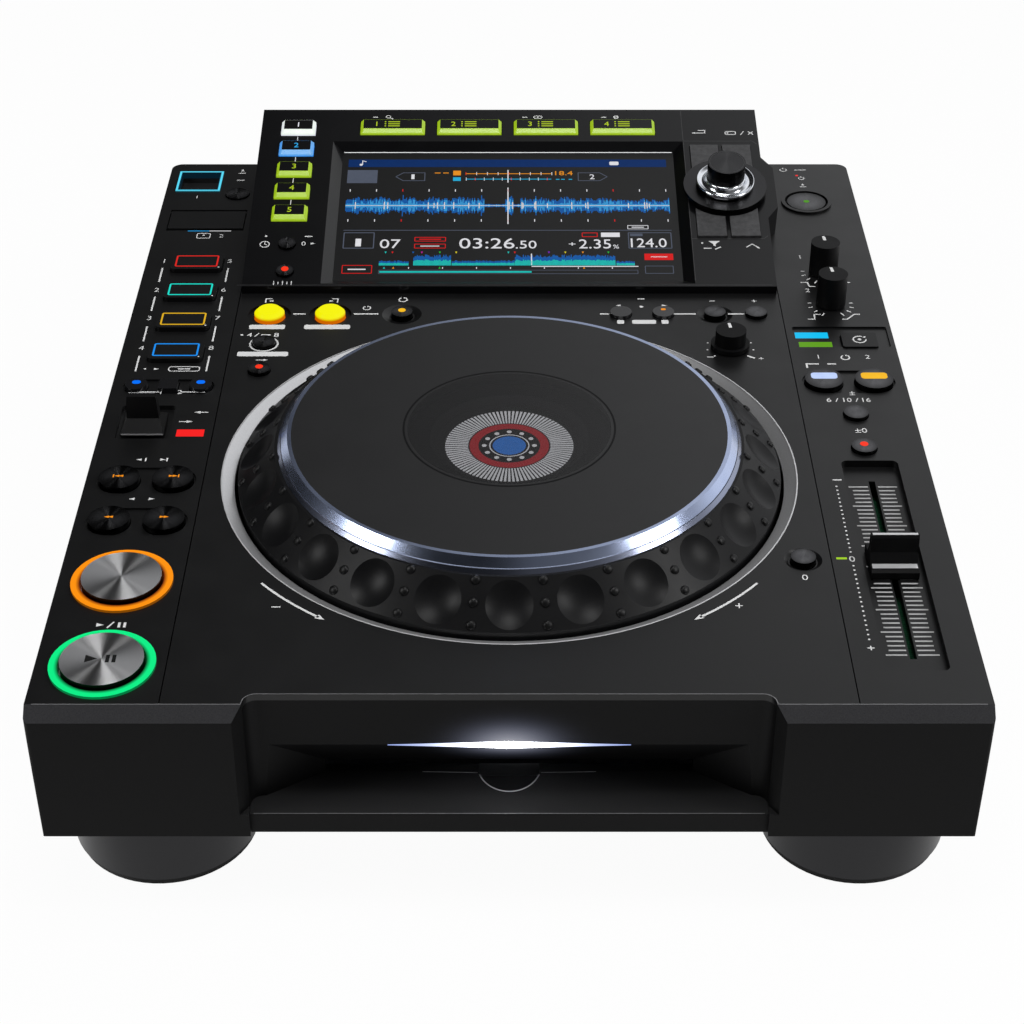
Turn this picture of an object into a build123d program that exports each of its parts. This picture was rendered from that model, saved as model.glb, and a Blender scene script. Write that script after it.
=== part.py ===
"""Tabletop disc player for DJs: slot-loading drive, big jog dial, tilted screen and a deck of controls.

Millimetres. X runs to the right, Y away from the user and Z up. The origin lies on the table, in
the middle of the footprint of the whole player.
"""
from build123d import *
import os
from math import cos, hypot, radians, sin, tan

os.makedirs("parts", exist_ok=True)

# ---------------------------------------------------------------- body
body_width = 320.0          # over both side covers
body_depth = 405.0          # front face to rear panel
body_height = 54.5          # underside to deck
foot_height = 34.5          # table to underside
socket_reach = 9.0          # phono sockets past the rear panel
centre_width = 231.2        # between the two long seams of the deck
wall = 2.5                  # moulded covers
sheet = 1.6                 # steel case, circuit boards
seam = 0.4                  # gap between neighbouring covers
side_draft = 0.8            # how far the side walls lean in towards the underside
rear_corner = 5.0           # vertical rear corners
rear_return = 12.0          # side cover wrapped round each rear corner
fit_gap = 0.3               # round every moving cap
play = 0.1                  # between a key's retaining plate and its panel

# ---------------------------------------------------------------- front bezel and disc slot
bezel_depth = 24.0
chamfer_depth = 5.0
chamfer_drop = 4.1
front_radius = 1.5
mouth_half = 88.3           # half width between the corner blocks
mouth_flare = 3.2
mouth_set_back = 10.0       # front face to the wall above the slot
mouth_radius = 4.4
brow_drop = 21.8            # deck to the light bar's edge
slot_half = 63.5
slot_top_drop = 37.0        # deck to the top of the disc slot
slot_bottom_drop = 42.6
slot_back = 20.0            # front face to where the funnel ends
funnel_half = 81.0
funnel_flare = 2.2           # each side, from the light bar down to the shelf
shelf_drop = 46.2           # deck to the shelf's front edge
shelf_rise = 3.3            # shelf from its front edge to the slot
lip_set_back = 2.2
notch_radius = 10.6
notch_from_slot = 2.3
light_bar_half = 41.0
light_bar_height = 2.6
light_bar_depth = 4.0
light_bar_proud = 0.4

# ---------------------------------------------------------------- jog
jog_from_front = 145.95     # front face to the jog's axis
dial_radius = 103.0
dial_top_radius = 88.5
dial_height = 13.3          # deck to the top of the dimpled flank
dial_skirt = 5.0            # dial below the deck
rim_radius = 87.4
rim_top_radius = 83.5
rim_wall = 1.5
platter_height = 18.0       # deck to the platter's top
window_radius = 39.9
dimple_count = 24
dimple_radius = 8.8
dimple_depth = 2.2
hub_radius = 33.0
hub_wall = 3.0
hub_drop = 14.0             # deck to the hub's lower end
bearing_clearance = 0.05
bearing_side = 84.0
bearing_top_drop = 6.0
thrust_gap = 0.1            # hub's lower end to the floor of its bearing
jog_screen_height = 9.5
jog_screen_gap = 1.5        # round the screen's column, inside the hub
trim_width = 5.0
trim_drop = 2.5
trim_thickness = 1.5
trim_gap = 1.4              # dial to trim ring

# ---------------------------------------------------------------- display housing
display_from_front = 279.8
display_step = 3.5          # deck to the lower edge of the sloping face
display_tilt = 11.1         # degrees
display_seat = 3.5          # strip of the centre panel that the housing stands on
display_half = 115.0
screen_width = 152.0
screen_height = 91.5
screen_x = -0.6
screen_up = 7.9             # lower edge of the sloping face to the glass
screen_drop = 3.5
screen_bevel = 4.6
screen_lower_bevel = 6.0
tray_wall = 1.2
glass_thickness = 2.0
glass_lip = 2.5
bulge_reach = 4.9           # display housing past its right side, round the selector
bulge_low = 46.8
bulge_high = 90.9
bulge_slant = 7.9

# ---------------------------------------------------------------- disc drive, boards, feet
drive_half = 73.0
drive_depth = 172.0
drive_top_drop = 22.0
grommet_side = 9.0
grommet_height = 2.5
drive_inset = 12.0
disc_depth = 150.0
board_drop = 14.0           # deck to the control boards
post_side = 4.0             # snap posts that carry the boards
rib_width = 3.0             # ribs of the side covers that stand on the floor
rib_depth = 8.0
foot_radius = 33.8
foot_x_inset = 35.4
foot_front_inset = 45.0
foot_rear_inset = 52.0
foot_pad_height = 3.0
foot_pad_inset = 1.2

# ---------------------------------------------------------------- keys and knobs
press_travel = 0.8
key_plate = 1.2
key_lip = 1.2
small_button = 4.5
small_rise = 1.5
medium_button = 7.7
medium_rise = 1.7
pair_pitch = 20.2
pill_margin = 1.0
pill_depth = 0.8
cue_button_radius = 14.2
cue_button_rise = 2.8
cue_ring_outer = 18.1
cue_ring_rise = 1.0
cue_ring_gap = 0.7
dome_radius = 6.4
dome_rise = 2.4
dome_chamfer = 1.6
dome_well = 9.0
dish_depth = 1.2
eject_radius = 8.8
eject_ring = 11.5
hot_cue_width = 22.5
hot_cue_depth = 13.6
hot_cue_round = 2.5
hot_cue_rise = 2.0
hot_cue_pitch = 25.3
bank_offset = 12.95
bank_gate = 7.6
tall_knob_radius = 6.2
tall_knob_height = 15.0
adjust_skirt = 8.0
adjust_skirt_rise = 2.4
adjust_knob_radius = 6.3
adjust_knob_height = 8.5
knob_gap = 0.6
shaft_radius = 3.0
pot_side = 13.0
pot_height = 6.0
shaft_end_gap = 1.0
selector_skirt = 18.6
selector_skirt_gap = 1.2
selector_skirt_thickness = 1.4
selector_dish = 12.8
selector_dish_rise = 5.0
selector_stem = 8.4
selector_height = 16.0
source_width = 15.8
source_depth = 10.2
source_pitch = 15.75
source_rise = 1.8
browse_width = 29.8
browse_pitch = 35.55
corner_keys_width = 27.6
corner_keys_depth = 66.0
corner_keys_split = 2.0
corner_keys_rise = 1.0

# ---------------------------------------------------------------- tempo fader and direction lever
fader_pocket_width = 21.7
fader_pocket_length = 127.4
fader_pocket_depth = 3.0
fader_from_front = 22.6     # front face to the pocket's front end
fader_slot_width = 2.4
fader_slot_length = 107.8
fader_cap_width = 17.2
fader_cap_length = 18.0
fader_foot_rise = 1.0
fader_fin_rise = 11.0
fader_fin_thickness = 3.0
fader_blade = 1.5
fader_blade_length = 8.0
carriage_width = 8.0
carriage_height = 4.0
rail_wall = 2.0
rail_gap = 0.4
lever_width = 16.8
lever_length = 15.5
lever_top_width = 11.4
lever_top_length = 3.4
lever_rise = 14.0
lever_foot = 1.2
lever_pocket_depth = 2.0
lever_pocket_margin = 2.1
lever_pivot_drop = 30.0
lever_swing = 8.0           # degrees, front stop to rear stop
lever_stem = 4.0
lever_stem_width = 8.0
lever_hub_radius = 4.0
lever_axle_radius = 2.0
lever_slot_gap = 0.6
cheek = 2.0
pad_thickness = 1.5

# ---------------------------------------------------------------- levels and reference lines
underside = foot_height
deck = underside + body_height
deck_under = deck - wall
floor_top = underside + sheet
front = -(body_depth + socket_reach) / 2
rear = front + body_depth
deck_front = front + chamfer_depth
bezel_back = front + bezel_depth
mouth_back = front + mouth_set_back
half_width = body_width / 2
seam_x = centre_width / 2
column_x = (half_width + seam_x) / 2 - 0.7
board_top = deck - board_drop
jog_y = front + jog_from_front
display_front = front + display_from_front
slope_length = (rear - display_front) / cos(radians(display_tilt))

deck_plane = Plane.XY.offset(deck)
slope = Plane(
    origin=(0, display_front, deck + display_step),
    x_dir=(1, 0, 0),
    z_dir=(0, -sin(radians(display_tilt)), cos(radians(display_tilt))),
)


# ---------------------------------------------------------------- helpers
def save(name, part):
    """Label a finished piece and write it to its own file."""
    part.label = name
    export_step(part, f"parts/{name}.step")


def block(x, y, z, mode=Mode.ADD):
    """A box between two values of x, of y and of z, in the part being built."""
    with Locations(((x[0] + x[1]) / 2, (y[0] + y[1]) / 2, (z[0] + z[1]) / 2)):
        Box(abs(x[1] - x[0]), abs(y[1] - y[0]), abs(z[1] - z[0]), mode=mode)


def upright(x, y, low, high, radius, mode=Mode.ADD):
    """A vertical round bar, or a round hole, in the part being built."""
    with Locations((x, y, low)):
        Cylinder(radius, high - low, align=(Align.CENTER, Align.CENTER, Align.MIN), mode=mode)


def axis_plane(surface, x, y):
    """The plane through a point of a surface whose second direction is the surface's normal."""
    return Plane(origin=surface.from_local_coords((x, y, 0)), x_dir=surface.x_dir, z_dir=-surface.y_dir)


def round_outline(surface, x, y, radius):
    """A circle on a surface."""
    with BuildSketch(surface) as outline:
        with Locations((x, y)):
            Circle(radius)
    return outline.sketch


def rounded_outline(surface, x, y, width, depth, radius):
    """A rectangle with round corners on a surface."""
    with BuildSketch(surface) as outline:
        with Locations((x, y)):
            RectangleRounded(width, depth, radius)
    return outline.sketch


def capped_key(cap, plate, surface, rise, top_chamfer=0.0):
    """A key: caps through the panel's holes, joined below the panel by a retaining plate.

    cap and plate draw their outlines on the plane they are given.
    """
    up = Axis((0, 0, 0), tuple(surface.z_dir))
    with BuildPart() as key:
        extrude(plate(surface.offset(-wall - play - key_plate)), amount=key_plate)
        extrude(cap(surface.offset(-wall - play)), amount=wall + play + rise)
        if top_chamfer:
            chamfer(key.faces().sort_by(up)[-1].edges(), length=top_chamfer)
    return key.part


def round_button(x, y, radius, rise, surface=deck_plane, top_chamfer=0.0):
    """A round cap on a square retaining plate."""
    side = 2 * (radius + key_lip)
    return capped_key(
        lambda plane: round_outline(plane, x, y, radius),
        lambda plane: square_outline(plane, x, y, side, side),
        surface,
        rise,
        top_chamfer,
    )


def square_outline(surface, x, y, width, depth):
    """A rectangle on a surface."""
    with BuildSketch(surface) as outline:
        with Locations((x, y)):
            Rectangle(width, depth)
    return outline.sketch


def rounded_button(x, y, width, depth, radius, rise, surface=deck_plane):
    """A rounded rectangular cap on a rectangular retaining plate."""
    return capped_key(
        lambda plane: rounded_outline(plane, x, y, width, depth, radius),
        lambda plane: square_outline(plane, x, y, width + 2 * key_lip, depth + 2 * key_lip),
        surface,
        rise,
    )


def knob(surface, x, y, outline):
    """A turned knob: outline gives its radius and height above the surface, from the skirt up."""
    profile = [(0, -board_drop + shaft_end_gap), (shaft_radius, -board_drop + shaft_end_gap)]
    profile += [(shaft_radius, outline[0][1])] + outline + [(0, outline[-1][1])]
    plane = axis_plane(surface, x, y)
    with BuildPart() as turned:
        with BuildSketch(plane):
            Polygon(*profile, align=None)
        revolve(axis=Axis(tuple(plane.origin), tuple(surface.z_dir)))
    return turned.part


# ---------------------------------------------------------------- where the controls are
left_x = -column_x
right_x = column_x
inner_left = left_x - pair_pitch / 2
inner_right = left_x + pair_pitch / 2
track_search_y = front + 136.4
search_y = front + 109.5
cue_y = front + 72.3
play_y = front + 25.5
bank_y = front + 203.8
hot_cue_y = [bank_y + 101.2 - hot_cue_pitch * row for row in range(4)]
lever_x = left_x - 5.8
lever_y = front + 175.2
lever_lamp = (lever_x + 18.5, lever_y - 5.8)
lever_lamp_size = (10.8, 5.0)
usb_stop = (left_x + 10.8, rear - 31.6)
usb_port = (left_x - 8.1, rear - 18.7)
sd_slot = (left_x - 0.5, rear - 56.5)
usb_width = 20.6
usb_depth = 20.1
usb_frame = 1.3
usb_well_depth = 5.0
usb_frame_rise = 0.5
sd_door_width = 34.0
sd_door_depth = 17.6
sd_recess_margin = 0.5
sd_front_gap = 2.0
sd_door_thickness = 1.6
sd_well_depth = 8.0
sd_hinge_radius = 0.9
sd_recess_depth = 2.3
sd_pin_radius = 0.5
sd_pin_length = 1.2
sd_pad_margin = 1.0
sd_well = (sd_door_width - 6.0, sd_door_depth - 4.0)
sd_well_place = (sd_slot[0], sd_slot[1] - 1.0)
usb_well = (usb_width - 2 * usb_frame, usb_depth - 2 * usb_frame)
socket_offset = 3.0         # well's middle to the plug's opening, towards the user
usb_plug = (12.8, 5.4)
usb_plug_depth = 11.5
card = (24.6, 2.8)
card_depth = 13.5
socket_wall = 1.6

fader = (right_x + 0.5, front + fader_from_front + fader_pocket_length / 2)
master_tempo = (right_x - 0.2, fader[1] + fader_pocket_length / 2 + 8.5)
tempo_range = (right_x - 0.3, master_tempo[1] + 24.2)
sync_y = tempo_range[1] + 24.8
jog_mode_y = sync_y + 35.7
jog_mode_pocket = (39.5, 16.7)
jog_mode_key = (right_x + 8.4, jog_mode_y - 3.4)
jog_mode_key_size = (14.6, 11.5)
release_speed = (right_x, jog_mode_y + 27.1)
touch_speed = (right_x, release_speed[1] + 28.1)
eject = (right_x, rear - 40.0)

row_y = display_front - 17.8
loop_in = (-101.6, row_y)
loop_out = (-75.9, row_y)
reloop = (-45.5, row_y)
call_x = (47.3, 65.3)
delete_key = (87.1, row_y)
memory_key = (104.6, row_y)
beat_key = (-101.8, row_y - 24.7)
slip_key = (-101.8, row_y - 46.0)
jog_adjust = (91.3, row_y - 27.5)
tempo_reset = (105.5, front + 85.8)

source_x = -97.8
source_up = [112.7 - source_pitch * row for row in range(5)]
time_mode = (-97.4, 28.3)
quantize = (-97.1, 9.7)
display_button = 3.7
browse_x = [-54.1 + browse_pitch * column for column in range(4)]
browse_up = 113.2
selector = (96.8, 66.2)

# Round buttons whose caps stand in plain holes: place, radius and rise.
left_buttons = {
    "usb_stop_button": (usb_stop, 5.5, 0.6),
    "track_search_back_button": ((inner_left, track_search_y), medium_button, medium_rise),
    "track_search_forward_button": ((inner_right, track_search_y), medium_button, medium_rise),
    "search_back_button": ((inner_left, search_y), medium_button, medium_rise),
    "search_forward_button": ((inner_right, search_y), medium_button, medium_rise),
}
right_buttons = {
    "eject_button": (eject, eject_radius, 0.6),
    "sync_button": ((right_x - pair_pitch / 2, sync_y), medium_button, medium_rise),
    "master_button": ((right_x + pair_pitch / 2, sync_y), medium_button, medium_rise),
    "tempo_range_button": (tempo_range, small_button + 0.4, small_rise),
    "master_tempo_button": (master_tempo, small_button + 0.4, small_rise),
}
centre_buttons = {
    "reloop_button": (reloop, small_button, small_rise),
    "delete_button": (delete_key, small_button, small_rise),
    "memory_button": (memory_key, small_button, small_rise),
    "beat_loop_button": (beat_key, small_button + 0.3, small_rise),
    "slip_button": (slip_key, small_button, small_rise),
    "tempo_reset_button": (tempo_reset, small_button, small_rise),
}
display_buttons = {
    "time_mode_button": (time_mode, display_button, 1.0),
    "quantize_button": (quantize, display_button, 1.0),
}
dishes = {"reloop": (reloop, 8.4), "delete": (delete_key, 7.6), "tempo_reset": (tempo_reset, 6.9)}

# Control boards, as x low, x high, y low, y high, and the snap posts that hold them.
board_half = 17.0
left_boards = [
    (left_x - board_half, left_x + board_half, play_y - 13.5, track_search_y + 13.6),
    (left_x - board_half, left_x + board_half, bank_y - 9.8, hot_cue_y[0] + 13.0),
    (usb_stop[0] - 7.0, usb_stop[0] + 7.0, usb_stop[1] - 8.0, usb_stop[1] + 18.0),
]
left_posts = [
    (left_x, (cue_y + play_y) / 2),
    (left_x, (track_search_y + search_y) / 2),
    (left_x, (hot_cue_y[0] + hot_cue_y[1]) / 2),
    (left_x, (hot_cue_y[2] + hot_cue_y[3]) / 2),
    (usb_stop[0], usb_stop[1] + 13.0),
]
right_boards = [
    (right_x - board_half, right_x + board_half, fader[1] - 71.3, master_tempo[1] + 9.5),
    (right_x - board_half, right_x + board_half, tempo_range[1] - 6.7, jog_mode_y + 10.8),
    (right_x - board_half, right_x + board_half, release_speed[1] - 10.3, eject[1] + 14.0),
]
right_posts = [
    (right_x, (tempo_range[1] + sync_y) / 2 - 1.4),
    (right_x, (sync_y + jog_mode_y) / 2 - 1.9),
    (right_x, (touch_speed[1] + release_speed[1]) / 2),
    (right_x, (touch_speed[1] + eject[1]) / 2),
]
centre_boards = [
    (-seam_x + 3.6, seam_x - 3.6, row_y - 9.0, row_y + 11.0),
    (beat_key[0] - 10.0, beat_key[0] + 8.0, slip_key[1] - 6.0, row_y - 9.0),
    (jog_adjust[0] - 8.0, jog_adjust[0] + 20.7, jog_adjust[1] - 9.0, row_y - 9.0),
    (tempo_reset[0] - 8.0, tempo_reset[0] + 8.0, tempo_reset[1] - 16.0, tempo_reset[1] + 16.0),
]
centre_posts = [
    ((loop_out[0] + reloop[0]) / 2, row_y),
    ((reloop[0] + call_x[0]) / 2, row_y),
    (beat_key[0], (beat_key[1] + slip_key[1]) / 2),
    (jog_adjust[0] + 13.0, jog_adjust[1]),
    (tempo_reset[0], tempo_reset[1] - 12.0),
    (tempo_reset[0], tempo_reset[1] + 12.0),
]
display_boards = [
    (source_x - 11.0, source_x + 11.0, quantize[1] - 5.7, source_up[0] + 8.7),
    (browse_x[0] - 22.0, browse_x[3] + 22.0, browse_up - 6.0, browse_up + 8.0),
    (selector[0] - 14.5, selector[0] + 14.0, selector[1] - 40.0, selector[1] + 40.0),
]
display_posts = [
    (source_x, (quantize[1] + time_mode[1]) / 2),
    (source_x, (time_mode[1] + source_up[4]) / 2 - 0.7),
    (browse_x[0] - 19.5, browse_up),
    (browse_x[3] + 19.5, browse_up),
    (selector[0], selector[1] - 37.5),
    (selector[0], selector[1] + 37.5),
]


def hang_posts(places, surface=deck_plane):
    """Snap posts from a panel down to its boards, in the cover being built."""
    with BuildSketch(surface.offset(-wall)) as posts:
        with Locations(*places):
            Rectangle(post_side, post_side)
    extrude(posts.sketch, amount=-(board_drop - wall))


def cut_button_holes(buttons, surface=deck_plane):
    """Clearance holes for round buttons, in the cover being built."""
    for place, radius, rise in buttons.values():
        extrude(round_outline(surface, *place, radius + fit_gap), amount=-wall, mode=Mode.SUBTRACT)


# ---------------------------------------------------------------- side covers
def side_cover_shell(side):
    """One deck strip with its drafted side wall and the wrap round the rear corner."""
    outer = side * half_width
    inner = side * (seam_x + seam / 2)
    with BuildPart() as shell:
        with BuildSketch(Plane.XY.offset(deck_under)) as strip:
            with BuildLine():
                Polyline(
                    (inner, deck_front), (outer, deck_front), (outer, rear), (inner, rear), close=True
                )
            make_face()
            fillet(strip.vertices().sort_by(Axis((0, 0, 0), (side, 1, 0)))[-1], radius=rear_corner)
        extrude(amount=wall)
        with BuildSketch(Plane.XY.offset(underside)) as skirt:
            with BuildLine():
                Polyline(
                    (outer, bezel_back),
                    (outer, rear),
                    (outer - side * rear_return, rear),
                    (outer - side * rear_return, rear - wall),
                    (outer - side * wall, rear - wall),
                    (outer - side * wall, bezel_back),
                    close=True,
                )
            make_face()
            corners = skirt.vertices().sort_by(Axis((0, 0, 0), (side, 1, 0)))
            fillet(corners[-1], radius=rear_corner)
        extrude(amount=body_height - wall)
        lean_sides(side)
    return shell.part


def lean_sides(side):
    """Take the draft off the outer side of the part being built."""
    outer = side * half_width
    with BuildSketch(Plane.XZ.offset(-rear - 1)) as sliver:
        with BuildLine():
            Polyline(
                (outer, deck - chamfer_drop),
                (outer + side, deck - chamfer_drop),
                (outer + side, underside - 1),
                (outer - side * side_draft, underside - 1),
                (outer - side * side_draft, underside),
                close=True,
            )
        make_face()
    extrude(sliver.sketch, amount=body_depth + 2, mode=Mode.SUBTRACT)


def floor_ribs(side):
    """Ribs on a side cover's wall that stand on the floor of the case."""
    for y in rib_rows:
        block(
            (side * (half_width - wall - rib_width), side * (half_width - wall)),
            (y - rib_depth / 2, y + rib_depth / 2),
            (floor_top, deck_under),
        )


rib_rows = [bezel_back + 24.0, lever_y + 2.2, rear - 60.0]

lever_pocket = (lever_width + 2 * lever_pocket_margin, lever_length + 2 * lever_pocket_margin + 4.4)
lever_pocket_y = lever_y + 2.2
lever_pivot = deck - lever_pivot_drop
axle_half = lever_stem_width / 2 + fit_gap + cheek
lever_sweep = lever_pivot_drop * tan(radians(lever_swing))
sd_floor = deck - sd_door_thickness - sd_well_depth
sd_hinge_y = sd_slot[1] + sd_door_depth / 2 - sd_hinge_radius
sd_hinge_z = deck - sd_hinge_radius - 0.1
sd_pin_half = sd_door_width / 2 + sd_recess_margin + sd_pin_length
usb_floor = deck - usb_well_depth

with BuildPart() as side_cover_left:
    add(side_cover_shell(-1))
    floor_ribs(-1)
    hang_posts(left_posts)
    # opening over the USB well, and the recess and opening under the memory-card door
    extrude(square_outline(deck_plane, *usb_port, usb_width, usb_depth), amount=-wall, mode=Mode.SUBTRACT)
    block(
        (sd_slot[0] - sd_door_width / 2 - sd_pad_margin, sd_slot[0] + sd_door_width / 2 + sd_pad_margin),
        (sd_slot[1] - sd_door_depth / 2 - wall, sd_slot[1] + sd_door_depth / 2 + wall),
        (deck_under - pad_thickness, deck_under),
    )
    extrude(
        square_outline(
            deck_plane,
            sd_slot[0],
            sd_slot[1] - (sd_front_gap - sd_recess_margin) / 2,
            sd_door_width + 2 * sd_recess_margin,
            sd_door_depth + sd_recess_margin + sd_front_gap,
        ),
        amount=-sd_recess_depth,
        mode=Mode.SUBTRACT,
    )
    with BuildSketch(Plane.YZ.offset(sd_slot[0] - sd_pin_half)):
        with Locations((sd_hinge_y, sd_hinge_z)):
            Circle(sd_pin_radius + bearing_clearance)
    extrude(amount=2 * sd_pin_half, mode=Mode.SUBTRACT)
    extrude(
        square_outline(deck_plane, *sd_well_place, *sd_well),
        amount=-wall - pad_thickness,
        mode=Mode.SUBTRACT,
    )
    # direction lever: pad with its pocket, slot and the two cheeks that hold its axle
    block(
        (lever_x - lever_pocket[0] / 2 - pad_thickness, lever_x + lever_pocket[0] / 2 + pad_thickness),
        (lever_pocket_y - lever_pocket[1] / 2 - wall, lever_pocket_y + lever_pocket[1] / 2 + wall),
        (deck_under - pad_thickness, deck_under),
    )
    for side in (-1, 1):
        inner_face = lever_x + side * (lever_stem_width / 2 + fit_gap)
        block(
            (inner_face, inner_face + side * cheek),
            (lever_y - lever_hub_radius - 1, lever_y + lever_hub_radius + 1),
            (lever_pivot - lever_hub_radius - 1, deck_under - pad_thickness),
        )
    extrude(
        rounded_outline(deck_plane, lever_x, lever_pocket_y, *lever_pocket, 1.5),
        amount=-lever_pocket_depth,
        mode=Mode.SUBTRACT,
    )
    extrude(
        square_outline(
            deck_plane,
            lever_x,
            lever_y + lever_sweep / 2,
            lever_stem_width + 2 * lever_slot_gap,
            lever_stem + lever_sweep + 2 * lever_slot_gap,
        ),
        amount=-wall - pad_thickness,
        mode=Mode.SUBTRACT,
    )
    with BuildSketch(Plane.YZ.offset(lever_x - axle_half)):
        with Locations((lever_y, lever_pivot)):
            Circle(lever_axle_radius + bearing_clearance)
    extrude(amount=2 * axle_half, mode=Mode.SUBTRACT)
    # pills, plain holes, key holes and ring seats
    for y in (track_search_y, search_y):
        with BuildSketch(deck_plane):
            with Locations((left_x, y)):
                SlotCenterToCenter(pair_pitch, 2 * (medium_button + pill_margin))
        extrude(amount=-pill_depth, mode=Mode.SUBTRACT)
    with BuildSketch(deck_plane):
        with Locations((left_x, bank_y)):
            SlotCenterToCenter(2 * bank_offset, 2 * (small_button + pill_margin))
    extrude(amount=-pill_depth, mode=Mode.SUBTRACT)
    cut_button_holes(left_buttons)
    for x in (left_x - bank_offset, left_x + bank_offset):
        extrude(
            round_outline(deck_plane, x, bank_y, small_button + fit_gap),
            amount=-wall,
            mode=Mode.SUBTRACT,
        )
    extrude(
        square_outline(deck_plane, left_x, bank_y, bank_gate + 2 * fit_gap, bank_gate + 2 * fit_gap),
        amount=-wall,
        mode=Mode.SUBTRACT,
    )
    for y in hot_cue_y:
        extrude(
            rounded_outline(
                deck_plane,
                left_x,
                y,
                hot_cue_width + 2 * fit_gap,
                hot_cue_depth + 2 * fit_gap,
                hot_cue_round + fit_gap,
            ),
            amount=-wall,
            mode=Mode.SUBTRACT,
        )
    for y in (cue_y, play_y):
        extrude(round_outline(deck_plane, left_x, y, cue_ring_outer), amount=-wall, mode=Mode.SUBTRACT)
    # lamp under the direction lever
    extrude(square_outline(deck_plane, *lever_lamp, *lever_lamp_size), amount=-wall, mode=Mode.SUBTRACT)

fader_tub_low = deck - fader_pocket_depth - pad_thickness
fader_tub_half = fader_pocket_width / 2 + pad_thickness
fader_tub_reach = fader_pocket_length / 2 + pad_thickness
lamp_width = 13.8
lamp_depth = 4.8
jog_mode_lamps = [(right_x - 10.8, jog_mode_y + 2.5), (right_x - 9.9, jog_mode_y - 5.3)]
zero_lamp = (fader[0] - 18.2, fader[1] + 0.2)
zero_lamp_size = (3.8, 1.2)
standby_lamp = (right_x - 1.5, rear - 12.0)
standby_size = 1.2

with BuildPart() as side_cover_right:
    add(side_cover_shell(1))
    floor_ribs(1)
    hang_posts(right_posts)
    block(
        (fader[0] - fader_tub_half, fader[0] + fader_tub_half),
        (fader[1] - fader_tub_reach, fader[1] + fader_tub_reach),
        (fader_tub_low, deck_under),
    )
    extrude(
        rounded_outline(deck_plane, *fader, fader_pocket_width, fader_pocket_length, 2.5),
        amount=-fader_pocket_depth,
        mode=Mode.SUBTRACT,
    )
    extrude(
        square_outline(deck_plane, *fader, fader_slot_width, fader_slot_length),
        amount=-fader_pocket_depth - pad_thickness,
        mode=Mode.SUBTRACT,
    )
    extrude(
        rounded_outline(deck_plane, right_x + 1.2, jog_mode_y, *jog_mode_pocket, 1.0),
        amount=-pill_depth,
        mode=Mode.SUBTRACT,
    )
    with BuildSketch(deck_plane):
        with Locations((right_x, sync_y)):
            SlotCenterToCenter(pair_pitch, 2 * (medium_button + pill_margin))
    extrude(amount=-pill_depth, mode=Mode.SUBTRACT)
    # raised collar round the eject button
    extrude(round_outline(deck_plane.offset(-wall), *eject, eject_ring), amount=wall + 1.0)
    extrude(round_outline(deck_plane.offset(1.0), *eject, eject_ring - 1.6), amount=-2.2, mode=Mode.SUBTRACT)
    cut_button_holes(right_buttons)
    for place in (touch_speed, release_speed):
        extrude(round_outline(deck_plane, *place, shaft_radius + knob_gap), amount=-wall, mode=Mode.SUBTRACT)
    extrude(
        rounded_outline(
            deck_plane,
            *jog_mode_key,
            jog_mode_key_size[0] + 2 * fit_gap,
            jog_mode_key_size[1] + 2 * fit_gap,
            1.0 + fit_gap,
        ),
        amount=-wall,
        mode=Mode.SUBTRACT,
    )
    for place in jog_mode_lamps:
        extrude(square_outline(deck_plane, *place, lamp_width, lamp_depth), amount=-wall, mode=Mode.SUBTRACT)
    extrude(square_outline(deck_plane, *zero_lamp, *zero_lamp_size), amount=-wall, mode=Mode.SUBTRACT)
    extrude(
        square_outline(deck_plane, *standby_lamp, standby_size, standby_size),
        amount=-wall,
        mode=Mode.SUBTRACT,
    )

# ---------------------------------------------------------------- centre panel
trim_outer = dial_radius + trim_gap + trim_width

with BuildPart() as centre_panel:
    with BuildSketch(Plane.XY.offset(deck_under)) as plan:
        with BuildLine():
            Polyline(
                (-seam_x + seam / 2, deck_front),
                (-mouth_half, deck_front),
                (-mouth_half, mouth_back),
                (mouth_half, mouth_back),
                (mouth_half, deck_front),
                (seam_x - seam / 2, deck_front),
                (seam_x - seam / 2, rear),
                (-seam_x + seam / 2, rear),
                close=True,
            )
        make_face()
        fillet(plan.vertices().filter_by_position(Axis.Y, mouth_back, mouth_back), radius=mouth_radius)
        with Locations((0, jog_y)):
            Circle(trim_outer, mode=Mode.SUBTRACT)
        with Locations((0, (display_front + wall + rear - display_seat) / 2)):
            Rectangle(
                2 * (display_half - display_seat),
                rear - display_seat - display_front - wall,
                mode=Mode.SUBTRACT,
            )
    extrude(amount=wall)
    hang_posts(centre_posts)
    for place, radius in dishes.values():
        with BuildSketch(deck_plane):
            with Locations(place):
                Circle(radius)
        with BuildSketch(deck_plane.offset(-dish_depth)):
            with Locations(place):
                Circle(small_button + 0.8)
        loft(mode=Mode.SUBTRACT)
    cut_button_holes(centre_buttons)
    for place in (loop_in, loop_out):
        extrude(round_outline(deck_plane, *place, dome_well), amount=-dish_depth, mode=Mode.SUBTRACT)
        extrude(round_outline(deck_plane, *place, dome_radius + fit_gap), amount=-wall, mode=Mode.SUBTRACT)
    for x in call_x:
        extrude(
            round_outline(deck_plane, x, row_y, small_button + fit_gap),
            amount=-wall,
            mode=Mode.SUBTRACT,
        )
    extrude(
        round_outline(deck_plane, *jog_adjust, shaft_radius + knob_gap),
        amount=-wall,
        mode=Mode.SUBTRACT,
    )

# ---------------------------------------------------------------- front bezel
brow = deck - brow_drop
slot_top = deck - slot_top_drop
slot_bottom = deck - slot_bottom_drop
shelf_front = deck - shelf_drop
lip_front = front + lip_set_back
slot_front = front + slot_back
shelf_slope = shelf_rise / (slot_front - lip_front)
shelf_mid = shelf_front + shelf_slope * (mouth_back - lip_front)


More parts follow.
